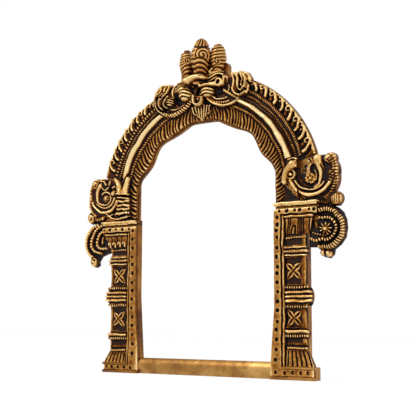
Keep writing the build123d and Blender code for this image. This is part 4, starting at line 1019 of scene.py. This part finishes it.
def brass(name, stops, rough_low, rough_high, use_patina_and_shade, bump):
    material, nodes, links, shader = node_tree(name)
    coarse = noise(nodes, links, 260, 5)
    fine = noise(nodes, links, 1500, 6)
    # The colour reads the relief value: patina with painted shade in the hollows, rubbed brass on the raised parts
    if use_patina_and_shade:
        relief = nodes.new("ShaderNodeAttribute")
        relief.attribute_name = "patina_and_painted_shade"
        base = relief.outputs["Fac"]
    else:
        base = maths(nodes, links, "MULTIPLY", noise(nodes, links, 25), 1.0)
    mixed = maths(nodes, links, "ADD", base, maths(nodes, links, "MULTIPLY", maths(nodes, links, "SUBTRACT", coarse, 0.5), 0.34))
    mixed = maths(nodes, links, "ADD", mixed, maths(nodes, links, "MULTIPLY", maths(nodes, links, "SUBTRACT", fine, 0.5), 0.16))
    links.new(ramp(nodes, links, mixed, stops), shader.inputs["Base Color"])
    links.new(ramp(nodes, links, mixed, [(0.2, grey(rough_high)), (0.75, grey(rough_low))]), shader.inputs["Roughness"])
    links.new(ramp(nodes, links, mixed, [(0.15, grey(0.35)), (0.5, grey(1.0))]), shader.inputs["Metallic"])
    bumps = nodes.new("ShaderNodeBump")
    bumps.inputs["Strength"].default_value = bump
    bumps.inputs["Distance"].default_value = 0.0002
    links.new(fine, bumps.inputs["Height"])
    links.new(bumps.outputs["Normal"], shader.inputs["Normal"])
    return material


# Colours along the relief value: dark hollows of patina and painted shade up to rubbed brass on the raised parts
ANTIQUE_AND_SHADE = [
    (0.22, linear(16, 6, 3)),
    (0.37, linear(48, 19, 7)),
    (0.48, linear(84, 41, 13)),
    (0.6, linear(132, 80, 30)),
    (0.76, linear(188, 136, 68)),
    (0.97, linear(238, 204, 140)),
]
PLAIN = [(0.3, linear(88, 50, 20)), (0.5, linear(146, 96, 42)), (0.75, linear(192, 144, 80))]
RAIL = [(0.3, linear(112, 72, 30)), (0.45, linear(158, 112, 56)), (0.6, linear(198, 154, 90))]
# Brighter colours for the smooth arch rib: its polish with a painted highlight, and painted shade with patina in its
# hollows
POLISHED_HIGHLIGHT_AND_SHADE = [(0.36, linear(60, 28, 12)), (0.5, linear(150, 102, 50)), (0.66, linear(224, 184, 118)), (0.86, linear(242, 214, 156))]
materials = {
    "antique_brass": brass("antique_brass", ANTIQUE_AND_SHADE, 0.32, 0.62, True, 0.5),
    "plain_brass": brass("plain_brass", PLAIN, 0.38, 0.5, False, 0.5),
    "rail_brass": brass("rail_brass", RAIL, 0.3, 0.45, False, 0.4),
    "polished_brass": brass("polished_brass", POLISHED_HIGHLIGHT_AND_SHADE, 0.24, 0.45, True, 0.25),
}

# ---------------------------------------------------------------- one piece for each node

beard = sdf_polygon([(-6.4, crest_low), (-2.2, beard_low + 1.6), (0, beard_low), (2.2, beard_low + 1.6), (6.4, crest_low)])

for side_name, sign in SIDES.items():
    def node(part, name=side_name):
        return f"{name}_{part}"

    mirror_x = X * sign
    across = np.abs(X)

    def sector(low, high):
        """Distance outside a range of angles, on this side."""
        return np.maximum(np.maximum(low - ANGLE, ANGLE - high) * RADIUS * math.pi / 180, -mirror_x)

    def band(radius, half_width, low=SPRING, high=CREST_EDGE):
        return np.maximum(np.abs(RADIUS - radius) - half_width, sector(low, high))

    def rect(x_low, x_high, z_low, z_high):
        return np.maximum(np.maximum(x_low - mirror_x, mirror_x - x_high), np.maximum(z_low - Z, Z - z_high))

    impost_top = top_of(node("impost"))
    head_side = 57.8
    fringe = np.maximum(np.maximum(EDGE_AWAY, RADIUS - FRINGE_R), np.maximum(impost_top - Z, -mirror_x))
    fringe = np.maximum(fringe, np.where(ANGLE < 2, across - FRINGE_R, -9))
    fringe = np.maximum(fringe, -beard)
    relief_piece(node("fringe_relief"), [node("fringe")], fringe, plate_front - 0.2, "antique_brass")
    relief_piece(node("inner_cord_relief"), [node("inner_cord")], band(CORD_R, 1.45), plate_front - 0.2, "antique_brass", 0.1)
    rib_half = RIB_HALF_LOW + 0.25
    relief_piece(node("arch_rib_relief"), [node("arch_rib")], band(RIB_R, rib_half), plate_front - 0.2,
                 "polished_brass", 0.1)
    relief_piece(node("bead_row_relief"), [node("bead_row")], band(BEAD_R, 1.3), plate_front - 0.2, "antique_brass", 0.1)
    relief_piece(node("rope_cord_relief"), [node("rope_cord")], band(ROPE_R, 1.35), plate_front - 0.2, "antique_brass", 0.1)
    leaf = np.maximum(np.maximum(LEAF_R - 0.1 - RADIUS, RADIUS - OUTER), sector(SPRING, CREST_EDGE))
    relief_piece(node("leaf_border_relief"), [node("leaf_border")], leaf, plate_front - 0.2, "antique_brass", 0.5)

    # Makara: head inside, scroll outside
    head = np.maximum(rect(48.0, head_side, impost_top, 110), np.maximum(FRINGE_R - np.where(ANGLE < 0, across, RADIUS),
                      (ANGLE - SPRING) * RADIUS * math.pi / 180))
    relief_piece(node("makara_head_relief"), [node("makara_head")], head, plate_front - 0.2, "antique_brass", 0.2)
    lobes = [((68.0, 97.5), 11.2), ((74.8, 106.6), 3.1), ((77.2, 87.0), 3.5), ((70.5, 100.5), 8.8)]
    scroll = np.minimum.reduce([sdf_disc((sign * x, z), r) for (x, z), r in lobes])
    scroll = np.minimum(scroll, rect(57.8, 79.0, 83.4, 88.0))
    scroll = np.maximum(scroll, np.maximum(head_side - mirror_x, 83.4 - Z))
    scroll = np.maximum(scroll, np.minimum(impost_top - Z, shoulder - mirror_x))
    wedge = np.maximum((SPRING - ANGLE) * RADIUS * math.pi / 180, RADIUS - OUTER)
    scroll = np.maximum(scroll, -wedge)
    relief_piece(node("makara_scroll_relief"), [node("makara_scroll")], scroll, SCROLL_BACK, "antique_brass", 0.6)
    tail = sdf_polygon([(sign * x, z) for x, z in TAILS[side_name]])
    tail = np.maximum(tail, np.maximum(shaft_outer + 1.0 - mirror_x, Z - 83.4))
    cap_low, cap_high = bottom_of(node("capital")), top_of(node("border_bead")) - 0.9
    cap_edge = 63.3 + 2.4 * np.clip((Z - cap_low) / (cap_high - cap_low), 0, 1)
    tail = np.maximum(tail, np.where(Z > cap_low - 0.2, cap_edge - mirror_x, -9))
    shoulder_low = top_of(node("border")) - 6.5
    tail = np.maximum(tail, np.minimum(Z - shoulder_low, shoulder - mirror_x))
    relief_piece(node("tail_scroll_relief"), [node("tail_scroll")], tail, SCROLL_BACK, "antique_brass", 0.6)

    # Post
    foot_top = top_of(node("foot_block"))
    waist = bottom_of(node("middle_ring"))
    bar_top = top_of(node("border"))
    strip_outer = bead_inner - 0.35
    edge = foot_inner + (jamb - foot_inner) * np.clip((Z - foot_top) / (waist - foot_top), 0, 1)
    strip = np.maximum(np.maximum(edge - mirror_x, mirror_x - strip_outer), np.maximum(1.5 - Z, Z - bar_top))
    foot_bar = rect(foot_inner + 0.2, foot_outer - 0.5, 1.5, foot_top - 1.0)
    top_bar = rect(jamb, shoulder, bar_top - 3.0, bar_top)
    border = np.minimum(strip, np.minimum(foot_bar, top_bar))
    relief_piece(node("border_relief"), [node("border")], border, post_front - 0.1, "antique_brass", 0.8)
    line_top = top_of(node("border_bead"))
    line = rect(strip_outer, shaft_inner, foot_top, bar_top - 3.0)
    line = np.minimum(line, rect(shaft_inner - 0.1, shoulder, line_top - 0.9, bar_top - 3.0))
    relief_piece(node("border_bead_relief"), [node("border_bead")], line, post_front - 0.1, "antique_brass", 0.1)
    rows = [
        ("foot_bell", bottom_of(node("foot_bell")), top_of(node("foot_bell"))),
        ("base_ring", bottom_of(node("base_ring")), top_of(node("base_ring"))),
        ("middle_ring", waist, top_of(node("middle_ring"))),
        ("upper_ring", bottom_of(node("upper_ring")), top_of(node("upper_ring"))),
        ("capital", bottom_of(node("capital")), line_top - 0.9),
    ]
    tips = {"foot_bell": 0, "base_ring": 63.0, "middle_ring": 65.0, "upper_ring": 62.8, "capital": 0}
    shaft_shape = rect(shaft_inner, shaft_outer, rows[0][2], rows[-1][1])
    for part, low, high in rows:
        if part == "foot_bell":
            neck = high - 3.4
            flare = np.clip((neck - Z) / (neck - low), 0, 1) ** 0.9
            right_edge = 61.8 + (foot_outer - 62.0) * flare
        elif part == "capital":
            right_edge = 63.3 + 2.4 * np.clip((Z - low) / (high - low), 0, 1)
        else:
            swell = np.sqrt(np.clip(1 - ((Z - (low + high) / 2) / ((high - low) / 2)) ** 2, 0, 1))
            right_edge = shaft_outer + 0.2 + (tips[part] - shaft_outer - 0.2) * swell
        shape = np.maximum(np.maximum(shaft_inner - mirror_x, mirror_x - right_edge), np.maximum(low - Z, Z - high))
        relief_piece(node(f"{part}_relief"), [node(part)], shape, post_front - 0.1, "antique_brass", 0.25)
        shaft_shape = np.maximum(shaft_shape, -rect(0, 90, low, high))
    relief_piece(node("column_relief"), [node("column")], shaft_shape, post_front - 0.1, "antique_brass", 0.25)
    relief_piece(node("impost_relief"), [node("impost")], rect(jamb, shoulder, bottom_of(node("impost")), impost_top),
                 0.0, "antique_brass", 0.35)
    mane = sdf_polygon([(sign * x, z) for x, z in MANE_OUTLINES[side_name]])
    mane = np.maximum(mane, 15.0 - mirror_x)
    relief_piece(node("mane_scroll_relief"), [node("mane_scroll")], mane, plate_front - 0.1, "antique_brass", 0.5)

tongue = sdf_polygon(TONGUE)
face = sdf_polygon([(-18, 138), (-6.4, 138), (-6.4, crest_low), (6.4, crest_low), (6.4, 138), (18, 138), (18, 150),
                    (15, 158.4), (11.4, 161.4), (7, 162.6), (2, 160.8), (-10, 160.6), (-15, 157.4), (-18, 150)])
face = np.maximum(face, np.where(np.abs(X) > 6.4, FRINGE_R - RADIUS, -9))
face = np.maximum(face, np.abs(X) - 15.0)
relief_piece("crest_face_relief", ["crest_face"], np.maximum(face, -tongue), plate_front - 0.1, "antique_brass", 0.6)
relief_piece("tongue_relief", ["tongue"], tongue, plate_front - 0.1, "antique_brass", 0.2)
relief_piece("beard_relief", ["beard"], beard, plate_front - 0.1, "antique_brass", 0.3)


def crown_lobe(name, shift, radius, profile, looks):
    """Round lobe: rings below, arcs about a swirl on its front and, above them, a ribbed cone."""
    low_corner, high_corner = box_mm(name)
    x, high = (low_corner[0] + high_corner[0]) / 2 + shift, high_corner[2]
    # The axis is one radius behind the solid's front, or one in front of the object's back
    y = min(low_corner[1] + radius, back_y - radius)
    low = low_corner[2] - 1.0
    rows, columns = 170, 240
    share = np.linspace(0, 1, rows)[:, None]
    turn = np.linspace(0, 2 * math.pi, columns, endpoint=False)[None, :]
    tall = high - low
    body = np.clip(smooth_table(profile, share[:, 0]), 0.02, 1)[:, None]
    # Millimetres across the lobe's face, to the right of its middle
    across = -((turn - front_turn + math.pi) % (2 * math.pi) - math.pi) * radius * body
    height = tall * share + 0 * turn
    middle = tall * looks["swirl"]
    away = np.hypot(across - looks["offset"], (height - middle) * 1.05)
    sloped = height + looks["slope"] * across + 0.07 * np.clip(across, -4, 4) ** 2
    rings = wave(sloped / looks["ring_pitch"] + 0.3, 0.9)
    round_swirl = np.arctan2(height - middle, across - looks["offset"]) / math.tau
    arcs = wave(away / looks["arc_pitch"] + round_swirl + 0.55, 0.9)
    ribs = wave(turn * 7 / math.pi + height * 0.12, 0.9)
    lines = wave((height - 0.12 * across) / looks["line_pitch"], 0.6)

    def blend(distance):
        return 1 / (1 + np.exp(np.clip(-distance * 5, -40, 40)))

    under = blend(middle - looks["drop"] - sloped + 0.35 * np.clip(across, 0, 3))
    cone = blend(height - tall * looks["cone"] - 0.03 * across ** 2)
    near = blend(looks["size"] - away)
    detail = near * arcs + (1 - near) * lines
    detail = under * rings + (1 - under) * detail
    detail = cone * ribs + (1 - cone) * detail
    # Groove under the cone, cut into the shape and painted dark as shade
    detail = detail * (1 - 0.9 * np.exp(-((height - tall * looks["cone"] - 0.03 * across ** 2) / 0.45) ** 2))
    size = radius * body - looks["groove"] * (1 - detail) * np.clip(body * 2, 0, 1)
    points = np.stack([x + size * np.cos(turn), y - size * np.sin(turn), low + height], axis=-1)
    count = rows * columns
    vertices = np.concatenate([points.reshape(-1, 3), [[x, y, low], [x, y, high]]])
    faces = []
    for row in range(rows - 1):
        for column in range(columns):
            a, b = row * columns + column, row * columns + (column + 1) % columns
            faces.append((b, a, a + columns, b + columns))
    for column in range(columns):
        after = (column + 1) % columns
        faces.append((column, after, count))
        faces.append(((rows - 1) * columns + after, (rows - 1) * columns + column, count + 1))
    # Painted shade low down, where the lobes stand close together, and in the grooves with patina
    shade = 0.2 + 0.66 * detail - 0.16 * np.clip(1 - share / 0.32, 0, 1)
    values = np.concatenate([shade.ravel(), [0.3, 0.6]])
    finish_piece(mesh_object(name + "_relief", vertices, faces, values, "POINT"), [name], "antique_brass")


front_turn = math.radians(56)
FULL = [(0, 0.5), (0.1, 0.55), (0.22, 0.72), (0.36, 0.94), (0.5, 1), (0.62, 0.92), (0.72, 0.77), (0.84, 0.66), (0.94, 0.4),
        (1, 0.05)]
BUD = [(0, 0.44), (0.19, 0.68), (0.36, 0.9), (0.52, 1), (0.69, 0.95), (0.85, 0.77), (0.95, 0.46), (1, 0.05)]
crown_looks = {
    "crown_centre": (0.6, 6.5, FULL, {"swirl": 0.5, "offset": 0.6, "slope": 0.2, "ring_pitch": 2.5, "arc_pitch": 2.1,
                     "line_pitch": 2.4, "drop": 1.3, "cone": 0.71, "size": 5.6, "groove": 0.95}),
    "crown_left": (0.0, 4.4, BUD, {"swirl": 0.6, "offset": 0.2, "slope": -0.25, "ring_pitch": 2.15, "arc_pitch": 1.3,
                   "line_pitch": 1.5, "drop": 1.6, "cone": 0.9, "size": 2.2, "groove": 0.75}),
    "crown_right": (-0.4, 4.7, BUD, {"swirl": 0.4, "offset": -0.6, "slope": 0.15, "ring_pitch": 2.3, "arc_pitch": 1.6,
                    "line_pitch": 1.8, "drop": 2.6, "cone": 1.2, "size": 1.8, "groove": 0.75}),
}
for crown, looks in crown_looks.items():
    crown_lobe(crown, *looks)

for name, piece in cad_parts.items():
    if piece.type == "MESH":
        piece.data.materials.clear()
        piece.data.materials.append(materials["rail_brass" if name == "bottom_rail" else "plain_brass"])

# ---------------------------------------------------------------- stage, light and camera

world = bpy.data.worlds.new("studio")
bpy.context.scene.world = world
world.use_nodes = True
nodes, links = world.node_tree.nodes, world.node_tree.links
light_path = nodes.new("ShaderNodeLightPath")
seen = nodes.new("ShaderNodeMath")
seen.operation = "MAXIMUM"
links.new(light_path.outputs["Is Camera Ray"], seen.inputs[0])
links.new(light_path.outputs["Is Glossy Ray"], seen.inputs[1])
strength = nodes.new("ShaderNodeMapRange")
strength.inputs["To Min"].default_value = 0.45
strength.inputs["To Max"].default_value = 1.0
links.new(seen.outputs[0], strength.inputs["Value"])
links.new(strength.outputs["Result"], nodes["Background"].inputs["Strength"])
nodes["Background"].inputs["Color"].default_value = (1, 1, 1, 1)

floor_material, nodes, links, shader = node_tree("floor")
shader.inputs["Base Color"].default_value = (0.9, 0.9, 0.9, 1)
shader.inputs["Roughness"].default_value = 0.9
light_path = nodes.new("ShaderNodeLightPath")
seen = nodes.new("ShaderNodeMath")
seen.operation = "MAXIMUM"
links.new(light_path.outputs["Is Camera Ray"], seen.inputs[0])
links.new(light_path.outputs["Is Glossy Ray"], seen.inputs[1])
share = nodes.new("ShaderNodeMath")
share.operation = "MULTIPLY"
share.inputs[1].default_value = 0.8
links.new(seen.outputs[0], share.inputs[0])
glow = nodes.new("ShaderNodeEmission")
glow.inputs["Color"].default_value = (1, 1, 1, 1)
glow.inputs["Strength"].default_value = 1.12
mix = nodes.new("ShaderNodeMixShader")
links.new(share.outputs[0], mix.inputs["Fac"])
links.new(shader.outputs["BSDF"], mix.inputs[1])
links.new(glow.outputs["Emission"], mix.inputs[2])
links.new(mix.outputs["Shader"], nodes["Material Output"].inputs["Surface"])
bpy.ops.mesh.primitive_plane_add(size=3.0, location=(0, 0, 0))
floor = bpy.context.object
floor.name = "floor"
floor.data.materials.append(floor_material)


def lamp(name, place, size, power):
    data = bpy.data.lights.new(name, "AREA")
    data.energy = power
    data.size = size
    thing = bpy.data.objects.new(name, data)
    bpy.context.collection.objects.link(thing)
    thing.location = place
    thing.rotation_euler = (Vector((0, 0, 0.09)) - Vector(place)).to_track_quat("-Z", "Y").to_euler()
    return thing


lamp("key", (-0.35, -0.6, 0.7), 0.35, 2.4)
lamp("fill", (0.7, -0.5, 0.3), 0.5, 0.6)

# Camera at the photograph's viewing angle
YAW, PITCH, ROLL = math.radians(34.0), math.radians(-7.374), 0.0033
DISTANCE, LENS = 469.09, 76.21
target = Vector((0.46, back_y, 87.9)) * MM
back = Vector((math.sin(YAW) * math.cos(PITCH), -math.cos(YAW) * math.cos(PITCH), math.sin(PITCH)))
right = Vector((0, 0, 1)).cross(back).normalized()
up = back.cross(right)
across_axis = right * math.cos(ROLL) + up * math.sin(ROLL)
up_axis = up * math.cos(ROLL) - right * math.sin(ROLL)
camera_data = bpy.data.cameras.new("camera")
camera_data.lens = LENS
camera_data.sensor_width = 36.0
camera_data.clip_start = 0.01
camera = bpy.data.objects.new("camera", camera_data)
bpy.context.collection.objects.link(camera)
turned = Matrix((across_axis, up_axis, back)).transposed().to_4x4()
camera.matrix_world = Matrix.Translation(target + back * DISTANCE * MM) @ turned
bpy.context.scene.camera = camera
bpy.context.scene.view_settings.view_transform = "Standard"
